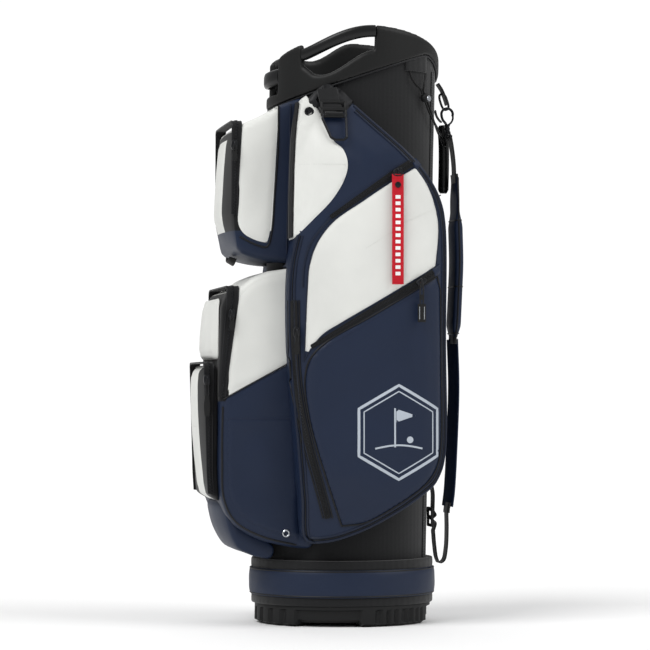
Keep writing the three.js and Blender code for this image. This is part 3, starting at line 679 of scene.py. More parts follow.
# ---- the elastic cord, from the tab under the collar to the spine handle and back ----
CORD_ROUTE = [
    (97, 87, 837), (98, 89, 829), (95.5, 96, 819), (90.2, 105.2, 811.6), (87.6, 108.1, 806),
    (82.1, 114.2, 793.5), (76.6, 120.3, 781), (69.5, 127, 770.5), (59.5, 134.3, 762.5),
    (46, 141.6, 756), (33, 147.3, 751.5), (22, 152.8, 748.5), (14.2, 158.5, 744.5),
    (13.4, 161.5, 737.5), (18.4, 158.6, 732.6), (26.4, 152.4, 737.3), (33.5, 147.6, 744.5),
    (46, 141.6, 750), (57.5, 135.9, 757.5), (65.6, 130.8, 767), (72.2, 125.2, 779.7),
    (77.7, 119.1, 792.2), (83.2, 113, 804.7), (85.4, 110.6, 809.7), (84.8, 111.6, 818),
    (81.5, 114, 829), (79, 115.5, 837),
]


def elastic_cord():
    path = spline(CORD_ROUTE, 1.5)
    length = sum((b - a).length for a, b in zip(path, path[1:]))
    cord = tube("elastic_cord_visual", path, CORD_DIAMETER / 2, "cord", sides=10,
                replaces="elastic_cord")
    toggle = rounded("cord_toggle_visual", "cord_toggle", "rubber")
    barrel = [(0.02, -1.5), (4, -1.5), (4.6, -0.5), (4.6, 0.5), (4, 1.5), (0.02, 1.5)]
    lathe("cord_toggle_button", barrel, (88.5, 118.2, 798), (0.7, 0.62, 0), "silver", "cord_toggle")


# ---- tube, dividers, base ----
def collar_bottom(degrees):
    from_spine = abs((degrees - 90 + 540) % 360 - 180)
    return 832 + 46 * sin(radians(degrees)) - 43 * smooth((45 - from_spine) / 45)


OVAL_STEPS = range(0, 360, 3)


def oval_ring(name, a, b, section, finish, replaces, sharp=42):
    """A ring round the leaning tube; section(degrees) gives (offset, height) pairs."""
    rings = [[on_oval(a + out, b + out, angle, z) for out, z in section(angle)]
             for angle in OVAL_STEPS]
    return piece(name, *rings_to_mesh(rings, loops=True), finish, "root", sharp, replaces)


def tube_shell():
    bottom = BASE_TOP + 0.3

    def section(angle):
        top = collar_bottom(angle) + 10
        heights = steps(bottom, top, 26)
        around = Vector((cos(radians(angle)), sin(radians(angle)))) * 2.2
        sag = [0.7 * noise.noise(Vector((around.x, around.y, z / 90))) for z in heights]
        outer = [(-0.4 + s * smooth((z - 110) / 60), z) for s, z in zip(sag, heights)]
        return outer + [(-TUBE_WALL, top), (-TUBE_WALL, bottom)]
    oval_ring("tube_shell_visual", TUBE_A, TUBE_B, section, "charcoal", "tube_shell")
    for side, name in both_sides("tube_seam"):
        angle = 90 - side * 27
        line = [on_oval(TUBE_A + 0.4, TUBE_B + 0.4, angle, z) for z in steps(100, 842, 60)]
        tangent = (on_oval(TUBE_A, TUBE_B, angle + 1, 0) - on_oval(TUBE_A, TUBE_B, angle, 0))
        strap(name, line, 9, 1.2, tangent, "charcoal")
        for part, shift in (("a", 3.4), ("b", -3.4)):
            sewn = [p + tangent.normalized() * shift for p in line]
            stitch_line(f"{name}_stitch_{part}", sewn, on_oval(1, 1, angle, 0), "webbing")


STITCH_LENGTH, STITCH_WIDTH, STITCH_HEIGHT = 2.6, 0.7, 0.5


def stitch_line(name, line, outward, finish, lift=0.7):
    """A row of stitches along a line in space."""
    path = spline(line, 4)
    out = Vector((outward[0], outward[1], 0)).normalized()
    groups = []
    for p, d in zip(path, headings(path)):
        side = d.cross(out).normalized()
        groups.append([[p + d * a * STITCH_LENGTH / 2 + side * b * STITCH_WIDTH / 2 + out * h
                        for a, b in SQUARE] for h in (lift, lift + STITCH_HEIGHT)])
    return blocks(name, groups, finish)


LONG_PLATES = (-36, 36)
CROSS_PLATES = (-66, -22, 22, 66)
PLATE_A, PLATE_B = 101, 117      # the plates end on this oval
PADDING_RADIUS = 3.4


def dividers():
    for node in ("divider_long_left", "divider_long_right"):
        keep(node, "divider")
    for i in range(4):
        keep(f"divider_cross_{i + 1}", "divider")
    for node in ("stay_left", "stay_right"):
        keep(node, "aluminium")
    top = lambda y: 842 + 0.2 * y
    lean = lambda x, y: Vector((x, y + LEAN * top(y), top(y) + 0.5))
    for x, name in zip(LONG_PLATES, ("left", "right")):
        half = PLATE_B * sqrt(1 - (x / PLATE_A) ** 2)
        path = [lean(x, y) for y in steps(-half, half, 40)]
        tube(f"divider_padding_long_{name}", path, PADDING_RADIUS, "divider", sides=12)
    for i, y in enumerate(CROSS_PLATES):
        half = PLATE_A * sqrt(1 - (y / PLATE_B) ** 2)
        path = [lean(x, y) for x in steps(-half, half, 34)]
        tube(f"divider_padding_cross_{i + 1}", path, PADDING_RADIUS, "divider", sides=12)


def base_parts():
    bevelled("base_boot_visual", "base_boot", "rubber", 0.5)

    def band(out, bulge, bottom, top, ripple):
        def section(angle):
            rows = []
            for t in steps(0, 1, 12):
                z = bottom + (top - bottom) * t
                puff = bulge * sqrt(max(0.0, 1 - abs(2 * t - 1) ** 2.6))
                wave = ripple * noise.noise(Vector((angle / 13, t * 2, 1.0)))
                grow = out + puff + wave * smooth(min(t, 1 - t) * 4)
                rows.append((grow, z))
            return rows + [(-12.5, top), (-12.5, bottom)]
        return section
    parts = (("base_band_lower", -3, 0.8, 31.3, 43.8, 0.1, "webbing"),
             ("base_band", -1.6, 3.0, 43.9, 85.1, 0.6, "navy"),
             ("base_binding", -3, 1.0, 85.2, 99, 0.15, "webbing"))
    for node, out, bulge, bottom, top, ripple, finish in parts:
        made = oval_ring(node + "_visual", BAND_A, BAND_B, band(out, bulge, bottom, top, ripple),
                         finish, node, sharp=50)
        for vertex in made.data.vertices:
            vertex.co.y -= LEAN * vertex.co.z
    for z, name in ((46.2, "low"), (83.2, "high")):
        line = [Vector((p.x, p.y - LEAN * p.z, p.z)) for p in
                (on_oval(BAND_A - 0.6, BAND_B - 0.6, angle, z) for angle in OVAL_STEPS)]
        tube(f"base_band_piping_{name}", line, 1.2, "edge", closed=True, sides=8)


# ---- collar and handles ----
SIDE_HANDLE = (-46, 6)
FRONT_HANDLE = (-111, -69)


def handle(name, span, middle, deep, tall, finish, node):
    """A carrying bar between two posts of the collar, with a flattened oval section."""
    rings = []
    for t in steps(0, 1, 36):
        angle = span[0] + 0.7 + (span[1] - span[0] - 1.4) * t
        out, z = middle(t)
        ring = []
        for a in turns(24):
            far = out + deep / 2 * squared(cos(a), 0.75)
            height = z + tall(t) / 2 * squared(sin(a), 0.75)
            ring.append(on_oval(TUBE_A + far, TUBE_B + far, angle, height))
        rings.append(ring)
    return piece(name, *rings_to_mesh(rings), finish, sharp=50, replaces=node)


def collar_parts():
    softened("top_collar_visual", "top_collar", "collar", 2.2, 5)
    handle("side_handle_visual", SIDE_HANDLE,
           lambda t: (-0.5, 862 + 34 * sin(pi / 2 * t) ** 1.3), 14.5,
           lambda t: 18 + 1.5 * sin(pi * t), "handle", "side_handle_bar")
    handle("front_handle_visual", FRONT_HANDLE,
           lambda t: (-1 + 6 * sin(pi * t), 833 - 3 * sin(pi * t)), 10.5,
           lambda t: 24.5, "handle", "front_handle_bar")
    lip = [on_oval(TUBE_A + 1.6, TUBE_B + 1.6, angle, collar_bottom(angle) - 1.2)
           for angle in OVAL_STEPS]
    tube("collar_binding", lip, 1.9, "edge", closed=True, sides=10)


# ---- side pockets ----
SIDE_OUTLINE = [
    (-46, 812), (-28, 806), (-4, 784), (30, 752), (72, 712), (106, 674), (128, 636), (136, 598),
    (136, 430), (135, 258), (120, 218), (94, 195), (52, 167), (0, 141), (-50, 127), (-80, 130),
    (-88, 193), (-96, 290), (-103, 385), (-106, 450), (-104, 540), (-88, 620), (-74, 700),
    (-64, 770),
]
UPPER_ZIP = [(92, 704), (54, 680), (3, 645), (-46, 611), (-74, 575), (-84, 540), (-86, 508)]
UPPER_TEETH = [(86, 699), (54, 680), (3, 645), (-46, 611)]
UPPER_SEAM = [(-46, 611), (-74, 575), (-84, 540), (-86, 508)]
LOWER_ZIP = [(120, 535), (90, 516), (20, 475), (-74, 419)]
GARMENT_ZIP = [(-98, 488), (-95, 370), (-80, 280), (-48, 165)]
MAIN_PANEL = [
    (85, 689), (42, 663), (2, 636), (-42, 605), (-66, 573), (-77, 540), (-80, 503), (-84, 398),
    (-78, 410), (-58, 436), (-30, 454), (20, 483), (88, 523), (116, 540), (121, 600), (114, 634),
    (101, 664),
]
LOWER_PANEL = [
    (118, 525), (90, 508), (20, 467), (-55, 424), (-76, 400), (-83, 370), (-78, 318), (-66, 268),
    (-48, 212), (-27, 153), (10, 158), (58, 184), (96, 211), (116, 236), (124, 268), (125, 400),
    (124, 505),
]
SNAP_PANEL = [
    (-84, 788), (-77, 795), (-56, 768), (-41, 727), (-26, 712), (-20, 690), (-25, 668), (-43, 638),
    (-72, 607), (-98, 580), (-97, 650), (-94, 720),
]
TOP_PANEL = [(-78, 786), (-62, 803), (-46, 813), (-28, 808), (-5, 786), (-20, 771), (-52, 760)]
BODY_SET_BACK = 1.6              # the pocket body lies this far under the frame's outer face
PANEL_RISE = 2.2
SIDE_TAPE = (12, 6.6)            # a zip tape's width where it starts and where it ends
GARMENT_TAPE = (9, 9)


def set_back(side):
    def shape(p):
        out = abs(p.x)
        return Vector((side * (out - BODY_SET_BACK * smooth((out - 95) / 20)), p.y, p.z))
    return shape


def snap_face(y, z):
    return side_face(max(y, -74), z) - 1.2 - 16 * smooth((-62 - y) / 38)


def zip_run(name, path, place, widths):
    """A tape with two rows of teeth down its middle, in the place of the zip's CAD node."""
    dense = spline(flat_path(path), 4)
    tape(f"{name}_tape", dense, place, widths, (0.9, 1.8), (-1, -0.5, 0, 0.5, 1), "tape",
         replaces=name)
    studs(f"{name}_teeth", dense, place, (1.3, 3.2, 1.2), 2.3, 1.7, "metal", 0.55)


def uncovered(rim):
    """The rim without its upper front stretch, which the snap panel and the patch cover."""
    covered = [p.x < -6 and p.y > 588 for p in rim]
    last = max(i for i in range(len(rim)) if covered[i] and not covered[(i + 1) % len(rim)])
    turned = list(range(last + 1, len(rim))) + list(range(last + 1))
    return [rim[i] for i in turned if not covered[i]]


def side_pocket(side, name):
    node = f"side_pocket_{name}"
    body = softened(f"{node}_visual", node, "navy", 3.6, 7, set_back(side))
    place = laid_on(body, (side, 0, 0))
    main = outline(MAIN_PANEL, (0, 7, 13))
    lower = outline(LOWER_PANEL, (0, 16, 9))
    pillow(f"main_panel_{name}", main, place, "white", PANEL_RISE, 7, ripple=0.9)
    pillow(f"lower_panel_{name}", lower, place, "navy", PANEL_RISE, 7, ripple=0.8)
    piping(f"lower_panel_piping_{name}", lower, place, 1.4, 0.5, "edge", closed=True)
    piping(f"main_panel_piping_{name}", main, place, 1.1, 0.3, closed=True)
    rim = outline(SIDE_OUTLINE, (), 6)
    piping(f"side_rim_outer_{name}", uncovered(inset(rim, 3.2)), place, 2.3, 0.4)
    piping(f"side_rim_inner_{name}", uncovered(inset(rim, 9.5)), place, 1.7, 0.2)
    piping(f"side_rim_groove_{name}", uncovered(inset(rim, 6.4)), place, 1.0, 0.2, "edge")
    if side > 0:
        zip_run("upper_side_zip", UPPER_TEETH, place, SIDE_TAPE)
        piping("upper_seam_right", spline(UPPER_SEAM, 4), place, 1.6, 0.6)
        zip_run("lower_side_zip", LOWER_ZIP, place, SIDE_TAPE)
        zip_run("garment_zip", GARMENT_ZIP, place, GARMENT_TAPE)
    else:
        zip_run("garment_zip_left", GARMENT_ZIP, place, GARMENT_TAPE)
        piping("upper_seam_left", spline(UPPER_ZIP, 4), place, 2.0, 0.6)
        piping("lower_seam_left", spline(LOWER_ZIP, 4), place, 2.0, 0.6)
    for part, shift in (("front", 7), ("back", -7)):
        line = [(p[0] + shift, p[1]) for p in spline(GARMENT_ZIP, 5)]
        piping(f"garment_piping_{part}_{name}", line, place, 1.3, 0.5, "edge")
    pillow(f"top_patch_{name}", outline(TOP_PANEL, (0, 4, 6)), place, "edge", 3.2, 4)
    snap_panel(side, name, place)
    zip_ends(name, place)
    seam_details(name, place)


def snap_panel(side, name, body_place):
    cover = on_face(side, snap_face)

    def place(u, v, h):
        return max(cover(u, v, h), body_place(u, v, h), key=lambda p: abs(p.x))
    loop = outline(SNAP_PANEL, (0, 1, 9))
    pillow(f"snap_panel_{name}", loop, place, "white", 2.4, 8, 44, ripple=0.8)
    edge = spline([(-98.6, 582), (-97.8, 650), (-94.8, 720), (-85, 787)], 5)
    rings = []
    for p in edge:
        out = snap_face(p.x, p.y)
        rings.append([Vector((side * x, p.x - lift, p.y)) for x, lift in
                      ((out - 36, 0.5), (out - 2, 0.5), (out - 1, 1.4), (out - 2, 2.6),
                       (out - 15, 2.8), (out - 17, 4.0), (out - 19, 2.8), (out - 36, 2.6))])
    piece(f"snap_zip_wall_{name}", *rings_to_mesh(rings), "tape", sharp=50)
    seam = spline([(-90, 690), (-22, 690)], 3)
    studs(f"snap_seam_{name}", seam, place, (2.2, 0.6, 0.35), 3.2, 2.3, "white_thread")


def zip_ends(name, place):
    ends = (("upper", [(76, 694), (87, 703), (96, 692), (84, 682)]),
            ("lower", [(108, 536), (123, 545), (126, 530), (113, 522)]))
    for part, corners in ends:
        pillow(f"{part}_zip_stop_{name}", outline(corners, (0, 1, 2, 3), 2), place, "navy",
               3.4, 2.5, 2, step=3)


def seam_details(name, place):
    """Rows of stitches just outside the panels, and the crease across the white one."""
    rows = (("upper", [(78, 704), (46, 684), (-6, 650), (-52, 618)], "thread", 0.1),
            ("lower", [(108, 514), (16, 459), (-52, 419)], "thread", 2.2))
    for part, line, finish, lift in rows:
        studs(f"{part}_seam_{name}", spline(line, 3), place, (2.3, 0.6, 0.4), 3.4, lift, finish)
    dart = spline([(114, 626), (74, 608), (30, 580), (8, 566)], 3)
    studs(f"dart_seam_{name}", dart, place, (2.4, 0.5, 0.3), 3.2, PANEL_RISE + 0.1,
          "white_thread")


# ---- front pockets ----
BALL_WHITE = [
    (-116, 782), (-140, 767), (-163, 757), (-169, 740), (-171, 690), (-173, 640), (-174, 604),
    (-166, 590), (-148, 580), (-131, 576), (-127, 590), (-122, 650), (-117, 720),
]


def over_path(half, foot, shoulder, roof):
    """A line up one side of a pocket, over its top and down the other side."""
    corner = 10
    rise = [Vector((half, foot[0] + (shoulder[0] - foot[0]) * t,
                    foot[1] + (shoulder[1] - corner - foot[1]) * t)) for t in steps(0, 1, 16)]
    turn = [Vector((half - corner + corner * cos(radians(angle)), shoulder[0],
                    roof - corner + corner * sin(radians(angle))))
            for angle in steps(10, 90, 8)]
    one = rise + turn
    flat = [Vector((x, shoulder[0], roof)) for x in steps(half - corner - 6, 6 + corner - half, 20)]
    other = [Vector((-p.x, p.y, p.z)) for p in reversed(one)]
    return one + flat + other


def over_zip(name, half, foot, shoulder, roof, width, bow=lambda p: p):
    """A zip over a pocket's shoulders: a tape that narrows to its feet, piped, with teeth."""
    path = over_path(half + 0.2, foot, shoulder, roof)
    wide = lambda t: width * (0.55 + 0.45 * smooth(min(t, 1 - t) / 0.28))
    shares = [i / (len(path) - 1) for i in range(len(path))]
    path = [bow(p - Vector((0, (width - wide(t)) / 2, 0))) for p, t in zip(path, shares)]
    strap(f"{name}_tape", path, wide, 1.8, (0, 1, 0), "tape", replaces=name)
    for part, side in (("front", -0.5), ("rear", 0.5)):
        line = [p + Vector((0, side * wide(t), 0)) for p, t in zip(path, shares)]
        tube(f"{name}_piping_{part}", line, 1.3, "edge", sides=8)
    along = spline(path, 2.3)
    groups = []
    for i, (p, d) in enumerate(zip(along, headings(along))):
        out = d.cross(Vector((0, -1, 0))).normalized()
        centre = p + Vector((0, 0.6 if i % 2 else -0.6, 0)) + out * 0.9
        groups.append([[centre + d * a * 0.65 * k + Vector((0, b * 1.6 * k, 0)) + out * h
                        for a, b in SQUARE] for h, k in ((0, 1.0), (0.9, 0.7))])
    blocks(f"{name}_teeth", groups, "metal")


def bowed(half, start, front, flat, depth):
    """Rounds a pocket's front in plan: what lies beyond y = start is squeezed back towards it, by
    flat in the middle and by flat + depth at the sides, measured at the foremost face."""
    def shape(p):
        if p.y > start:
            return p
        back = (flat + depth * min(1.0, abs(p.x) / half) ** 2) / (start - front)
        return Vector((p.x, start + (p.y - start) * (1 - back), p.z))
    return shape


BALL_BOW = bowed(BALL_HALF, -176, -200, 5, 13)
MID_BOW = bowed(DOME_HALF, -202, -221, 4, 11)
LOW_BOW = bowed(DOME_HALF, -216, -235, 4, 11)
SKIRT_BOW = bowed(80, -150, -208, 2, 14)


def ball_pocket():
    body = softened("ball_pocket_visual", "ball_pocket", "white", 3.2, 6, BALL_BOW)
    foot, brow, flank = 594, 734, 40
    rear, rake = -158.2, 0.058
    painted(body, "navy", [((0, 0, foot), (0, 0, 1)), ((0, rear, 0), (0, 1, -rake))],
            lambda p: p.z < foot or p.y - rake * p.z > rear)
    fore, slope = -120, 0.08
    painted(body, "tape", [((0, fore, 0), (0, 1, slope)), ((flank, 0, 0), (1, 0, 0)),
                           ((-flank, 0, 0), (1, 0, 0)), ((0, 0, brow), (0, 0, 1))],
            lambda p: p.z > foot and (abs(p.x) > flank or p.z > brow)
            and p.y + slope * p.z < fore)
    for side, name in both_sides("ball"):
        place = laid_on(body, (side, 0, 0))
        pillow(f"{name}_white_panel", outline(BALL_WHITE, (0, 2, 9)), place, "white", 1.4, 9,
               ripple=0.9)
        rear = spline([(-113, 783), (-114, 720), (-119, 650), (-124, 590), (-131, 570),
                       (-150, 574), (-172, 585)], 5)
        piping(f"{name}_rear_piping", rear, place, 1.5, 0.3, "edge")
        near = spline([(-95, 786), (-97, 700), (-100, 620), (-101, 560)], 5)
        piping(f"{name}_near_piping", near, place, 1.4, 0.4)
    front = laid_on(body, (0, -1, 0))
    panel = outline([(-38, 606), (38, 606), (40, 680), (38, 732), (-38, 732), (-40, 680)],
                    (0, 1, 3, 4))
    pillow("ball_front_panel", panel, front, "white", 1.4, 9, ripple=0.9)
    over_zip("ball_zip", BALL_HALF, (-190, 618), (-178, 757), 759, 14, BALL_BOW)
    loop = [Vector((18 * cos(a), -172 - 6 * sin(a) * 0.4, 557 - 9 * sin(a)))
            for a in steps(0, pi, 14)]
    strap("ball_hang_loop", loop, 12, 1.6, (0, 1, -0.6), "webbing")


LOWER_WHITE = [
    (-120, 526), (-84, 529), (-84, 404), (-150, 371), (-192, 350), (-184, 420), (-173, 492),
    (-146, 517),
]
LOWER_NAVY = [
    (-84, 401), (-150, 366), (-195, 342), (-197, 260), (-194, 194), (-178, 163), (-140, 141),
    (-84, 126), (-84, 200), (-84, 300),
]
SLIP_PANEL = [
    (-84, 317), (-194, 317), (-194, 260), (-190, 198), (-175, 168), (-140, 146), (-84, 131),
    (-84, 220),
]


def lower_pocket():
    body = softened("lower_pocket_visual", "lower_pocket", "white", 3.6, 6)
    front, foot = -199, 341
    slope = (402 - foot) / (-84 - front)
    painted(body, "navy", [((0, front, foot), (0, -slope, 1))],
            lambda p: p.z < foot + slope * (p.y - front))
    tape_from, tape_foot = -190, 338
    painted(body, "tape", [((0, tape_from, 0), (0, 1, 0)), ((0, 0, tape_foot), (0, 0, 1))],
            lambda p: p.z > tape_foot and p.y < tape_from)
    for side, name in both_sides("lower"):
        place = laid_on(body, (side, 0, 0))
        pillow(f"{name}_white_panel", outline(LOWER_WHITE, (1, 2, 4)), place, "white",
               1.5, 8, ripple=0.9)
        navy = outline(LOWER_NAVY, (0, 2, 7))
        pillow(f"{name}_navy_panel", navy, place, "navy", 1.5, 6, ripple=0.8)
        piping(f"{name}_diagonal_piping", spline([(-84, 403.5), (-150, 368), (-198, 341.5)], 4),
               place, 1.0, 0.9, "edge")
        slip = outline(SLIP_PANEL, (0, 1, 6))
        pillow(f"{name}_slip_panel", slip, place, "navy", 2.8, 5, ripple=1.0)
        curve = spline([(-199, 330), (-200, 250), (-197, 192), (-180, 159), (-142, 137),
                        (-88, 123)], 5)
        piping(f"{name}_bottom_piping", curve, place, 1.5, 0.4, "edge")
        studs(f"{name}_slip_stitches", spline([(-90, 312), (-192, 312)], 3), place,
              (2.4, 0.6, 0.4), 3.4, 2.8, "thread")
        ring = [(3.4, 0), (5.6, 0), (5.8, 1.2), (4.6, 2.0), (3.4, 1.3)]
        hole = place(-104, 141, 2.9)
        rings = [[hole + Vector((side * h, r * cos(a), r * sin(a))) for r, h in ring]
                 for a in turns(28)]
        piece(f"{name}_grommet", *rings_to_mesh(rings, loops=True), "silver", sharp=50)
    over_zip("mid_zip", LOWER_HALF, (-196, 345), (-184, 500), 510, 17)


def dome(node, zone, edge, bow, stitch_rows):
    """A zipped pocket on the lower pocket's front, white between its edges and dark beyond."""
    body = softened(f"{node}_visual", node, "white", 3.2, 7, bow)
    front = laid_on(body, (0, -1, 0))
    low, high = zone
    half = edge - 1
    loop = outline([(-half, low), (half, low), (half, high), (-half, high)], (0, 1, 2, 3))
    pillow(f"{node}_panel", loop, front, "white", 1.4, 10, ripple=1.2)
    if edge < 70:
        painted(body, "tape", [((edge, 0, 0), (1, 0, 0)), ((-edge, 0, 0), (1, 0, 0))],
                lambda p: abs(p.x) > edge)
    for z in stitch_rows:
        line = spline([(-half + 6, z), (half - 6, z)], 3)
        studs(f"{node}_stitches_{round(z)}", line, front, (2.4, 0.6, 0.4), 3.4, 1.4,
              "white_thread")


SKIRT_OUTLINE = [
    (-208, 184), (-206, 165), (-198, 142), (-181, 118), (-159, 109), (-138, 103), (-122, 103),
    (-118, 118), (-140, 137), (-180, 160), (-198, 190),
]


def front_domes():
    dome("mid_zip_pocket", (410, 484), 72, MID_BOW, ())
    dome("low_zip_pocket", (202, 380), 38, LOW_BOW, (300,))
    over_zip("low_zip", DOME_HALF, (-211, 200), (-223, 394.5), 396, 14, LOW_BOW)
    skirt = outline(SKIRT_OUTLINE, (), 5)
    half = [(30, 0), (60, 0), (75, 0.3), (78.5, 1.6), (80, 4)]
    levels = [(-x, back) for x, back in reversed(half)] + half
    rings = [[SKIRT_BOW(Vector((x, p.x, p.y))) for p in (inset(skirt, back) if back else skirt)]
             for x, back in levels]
    piece("pocket_skirt_visual", *rings_to_mesh(rings), "navy", sharp=60, replaces="pocket_skirt")


# ---- sliders, pullers, ribbon ----
def zip_hardware():
    for name in ("upper_side", "lower_side", "garment", "ball", "mid", "low"):
        bevelled(f"{name}_slider_visual", f"{name}_zip_slider", "metal", 0.7)
        slider_top(name)
    bevelled("garment_slider_left_visual", "garment_zip_slider_left", "metal", 0.7)
    for name in ("garment", "ball", "mid", "low"):
        cord_puller(name)
    lower_puller()
    ribbon()


def room_of(node):
    """A node's centre, its size, the heights of its foot and top, and its body."""
    low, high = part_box(node)
    centre, size = (low + high) / 2 / MM, (high - low) / MM
    return centre, size, centre.z - size.z / 2, centre.z + size.z / 2, NODES[node]["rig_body"]


def slider_top(name):
    """The bridge on top of a slider that holds its puller."""
    centre, size, _, _, body = room_of(f"{name}_zip_slider")
    face = centre.x + size.x / 2
    path = [Vector((face - 0.6 + 2.6 * sin(a), centre.y, centre.z + 5 * cos(a)))
            for a in steps(0, pi, 12)]
    tube(f"{name}_slider_bridge", path, 0.9, "metal", body, sides=8)


def cord_puller(name):
    """A moulded tab on a loop of thin cord."""
    node = f"{name}_zip_puller"
    centre, size, low, top, body = room_of(node)
    tab = size.z * 0.55
    path = [Vector((centre.x, centre.y, z)) for z in steps(low, low + tab, 14)]
    strap(f"{name}_puller_visual", path,
          lambda t: size.y * (0.72 + 0.28 * sin(pi * min(1, t * 1.15))),
          lambda t: size.x * (0.7 + 0.3 * sin(pi * t)), (0, 1, 0), "rubber", body,
          replaces=node)
    foot, middle = low + tab - 2, (low + tab + top) / 2
    loop = [(centre.x, centre.y + y, z) for y, z in
            ((-1.6, foot), (-2.0, middle), (0, top - 0.6), (2.0, middle), (1.6, foot))]
    tube(f"{name}_puller_cord", spline(loop, 1.2), 0.8, "webbing", body, sides=8)


def lower_puller():
    """The longer puller: a cord loop, a knot cover and a ribbed block with side plates."""
    node = "lower_side_zip_puller"
    centre, size, low, top, body = room_of(node)
    block = [Vector((centre.x, centre.y, z)) for z in steps(low, low + 27, 20)]
    ribs = lambda t: size.x * (0.86 + 0.14 * (1 if int(t * 9) % 2 else 0))
    strap("lower_side_puller_visual", block, size.y, ribs, (0, 1, 0), "rubber", body,
          replaces=node)
    for part, shift in (("a", -3.6), ("b", 3.6)):
        line = [p + Vector((size.x / 2, shift, 0)) for p in block[3:-3]]
        tube(f"lower_side_puller_rail_{part}", line, 0.6, "silver", body, sides=6)
    loop = [(centre.x, centre.y + y, z) for y, z in
            ((-2, low + 25), (-2.6, low + 40), (-1.6, top - 6), (0, top - 0.6), (1.6, top - 6),
             (2.6, low + 40), (2, low + 25))]
    tube("lower_side_puller_cord", spline(loop, 1.5), 1.0, "webbing", body, sides=8)
    neck = [Vector((centre.x, centre.y, z)) for z in steps(low + 33, low + 41, 6)]
    strap("lower_side_puller_neck", neck, 7, 2.8, (0, 1, 0), "rubber", body)


def ribbon():
    """The red ribbon puller: a folded band with a rivet, hems and a row of plain dashes."""
    node = "ribbon_puller"
    centre, _, low, top, body = room_of(node)
    path = [Vector((centre.x + 0.5 * sin(z / 23), centre.y, z)) for z in
            steps(low, top - 6, 60)]
    strap("ribbon_visual", path, 17.6, 1.5, (0, 1, 0), "ribbon", body, replaces=node)
    face = centre.x + 0.75
    flat = lambda u, v, h: Vector((face + 0.5 * sin(v / 23) + h, u, v))
    rivet = [(0.02, 0.2), (4.4, 0.2), (4.6, 0.8), (4.0, 1.5), (2.2, 1.9), (0.02, 2.0)]
    lathe("ribbon_rivet", rivet, (face, centre.y, top - 22), (1, 0, 0), "metal", body)
    dashes = spline([(centre.y, low + 16), (centre.y, top - 40)], 3)
    studs("ribbon_dashes", dashes, flat, (5.2, 7.5, 0.15), 9.2, 0.0, "mark", body=body)
    for part, z in (("foot", low + 3), ("head", top - 12)):
        row = spline([(centre.y - 7.6, z), (centre.y + 7.6, z)], 2)
        studs(f"ribbon_hem_{part}", row, flat, (1.6, 0.5, 0.3), 2.3, 0.0, "ribbon", body=body)
    clip = [Vector((centre.x, centre.y + 7 * cos(a), top - 5 + 3.4 * sin(a)))
            for a in turns(24)]
    tube("ribbon_clip", clip, 1.1, "metal", body, closed=True, sides=8)


# ---- emblem: a plain flag, ball and rolling ground in a six-sided frame ----
EMBLEM_AT = (57, 292)
EMBLEM_RADIUS = 70


def stroke(name, line, place, width, closed=False):
    tape(name, line, place, (width, width), (-0.3, 0.28), (-1, 0, 1), "print", closed)


def emblem(side, name, panel):
    place = laid_on(panel, (side, 0, 0))
    y, z = EMBLEM_AT
    for part, r, width in (("outer", EMBLEM_RADIUS, 4.2), ("inner", EMBLEM_RADIUS - 9, 1.8)):
        corners = [(y + r * sin(radians(a)), z + r * cos(radians(a)))
                   for a in range(0, 360, 60)]
        stroke(f"emblem_{part}_{name}", straight_sides(corners, 14), place, width, closed=True)
    stroke(f"emblem_pole_{name}", [(y - 6, v) for v in steps(z - 22, z + 36, 24)], place, 2.6)
    flag = outline([(y - 4, z + 35), (y + 26, z + 25), (y - 4, z + 15)], (0, 1, 2), 2)
    pillow(f"emblem_flag_{name}", flag, place, "print", 0.3, 0.4, 0.3, step=3)
    ground = [(y - 36 + 72 * t, z - 24 + 5 * sin(pi * t)) for t in steps(0, 1, 30)]
    stroke(f"emblem_ground_{name}", ground, place, 2.6)
    disc = outline([(y + 17 + 5 * cos(a), z - 11 + 5 * sin(a))
                    for a in turns(12)], (), 1.5)
    pillow(f"emblem_ball_{name}", disc, place, "print", 0.3, 0.4, 0.3, step=2)


# ---- small hardware ----
RING_CORNERS = [(-15, 0), (15, 0), (18, 7), (17, 38), (12, 42), (-1, 42), (-7, 38), (-18, 7)]
RING_TOP = Vector((143, -38, 766))
RING_LEAN = radians(20)


def towel_parts():
    loop = outline(RING_CORNERS, tuple(range(len(RING_CORNERS))), 1.6)
    path = [RING_TOP + Vector((p.y * sin(RING_LEAN), p.x, -p.y * cos(RING_LEAN)))
            for p in loop]
    tube("towel_ring_visual", path, 1.9, "metal", "towel_ring", closed=True, sides=12,
         replaces="towel_ring")
    web = [(126.8, -46, 806), (131.8, -43, 787), (139.2, -38, 769.5)]
    path = [Vector(p) + Vector((0.6, 0, 0)) for p in spline(web, 3)]
    strap("towel_web_visual", path, 30, 3.4, (0, 1, 0), "webbing", replaces="towel_web")
    for part, (x, top) in (("upper", (137.5, 785)), ("lower", (141.5, 773))):
        corners = [(x - 2, -56, top), (x - 2, -20, top), (x + 1.5, -20, top - 10),
                   (x + 1.5, -56, top - 10)]
        tube(f"towel_buckle_{part}", straight_sides(corners, 12), 2.2, "rubber", closed=True, sides=8)
    roll = [Vector((143, -38 + v, 766.5)) for v in steps(-13, 13, 12)]
    tube("towel_web_loop", roll, 3.2, "webbing", sides=12)


def snap():
    x, y, z = 133.6, -74, 770
    base = [(0.02, 0), (7.0, 0), (7.2, 0.8), (6.4, 1.8), (4.6, 2.0), (4.2, 1.2), (3.4, 1.0),
            (3.0, 2.2), (2.2, 3.2), (0.02, 3.4)]
    lathe("snap_button_visual", base, (x, y, z), (1, 0, 0), "metal", replaces="snap_button")
    lathe("snap_button_twin", base, (-x, y, z), (-1, 0, 0), "metal")


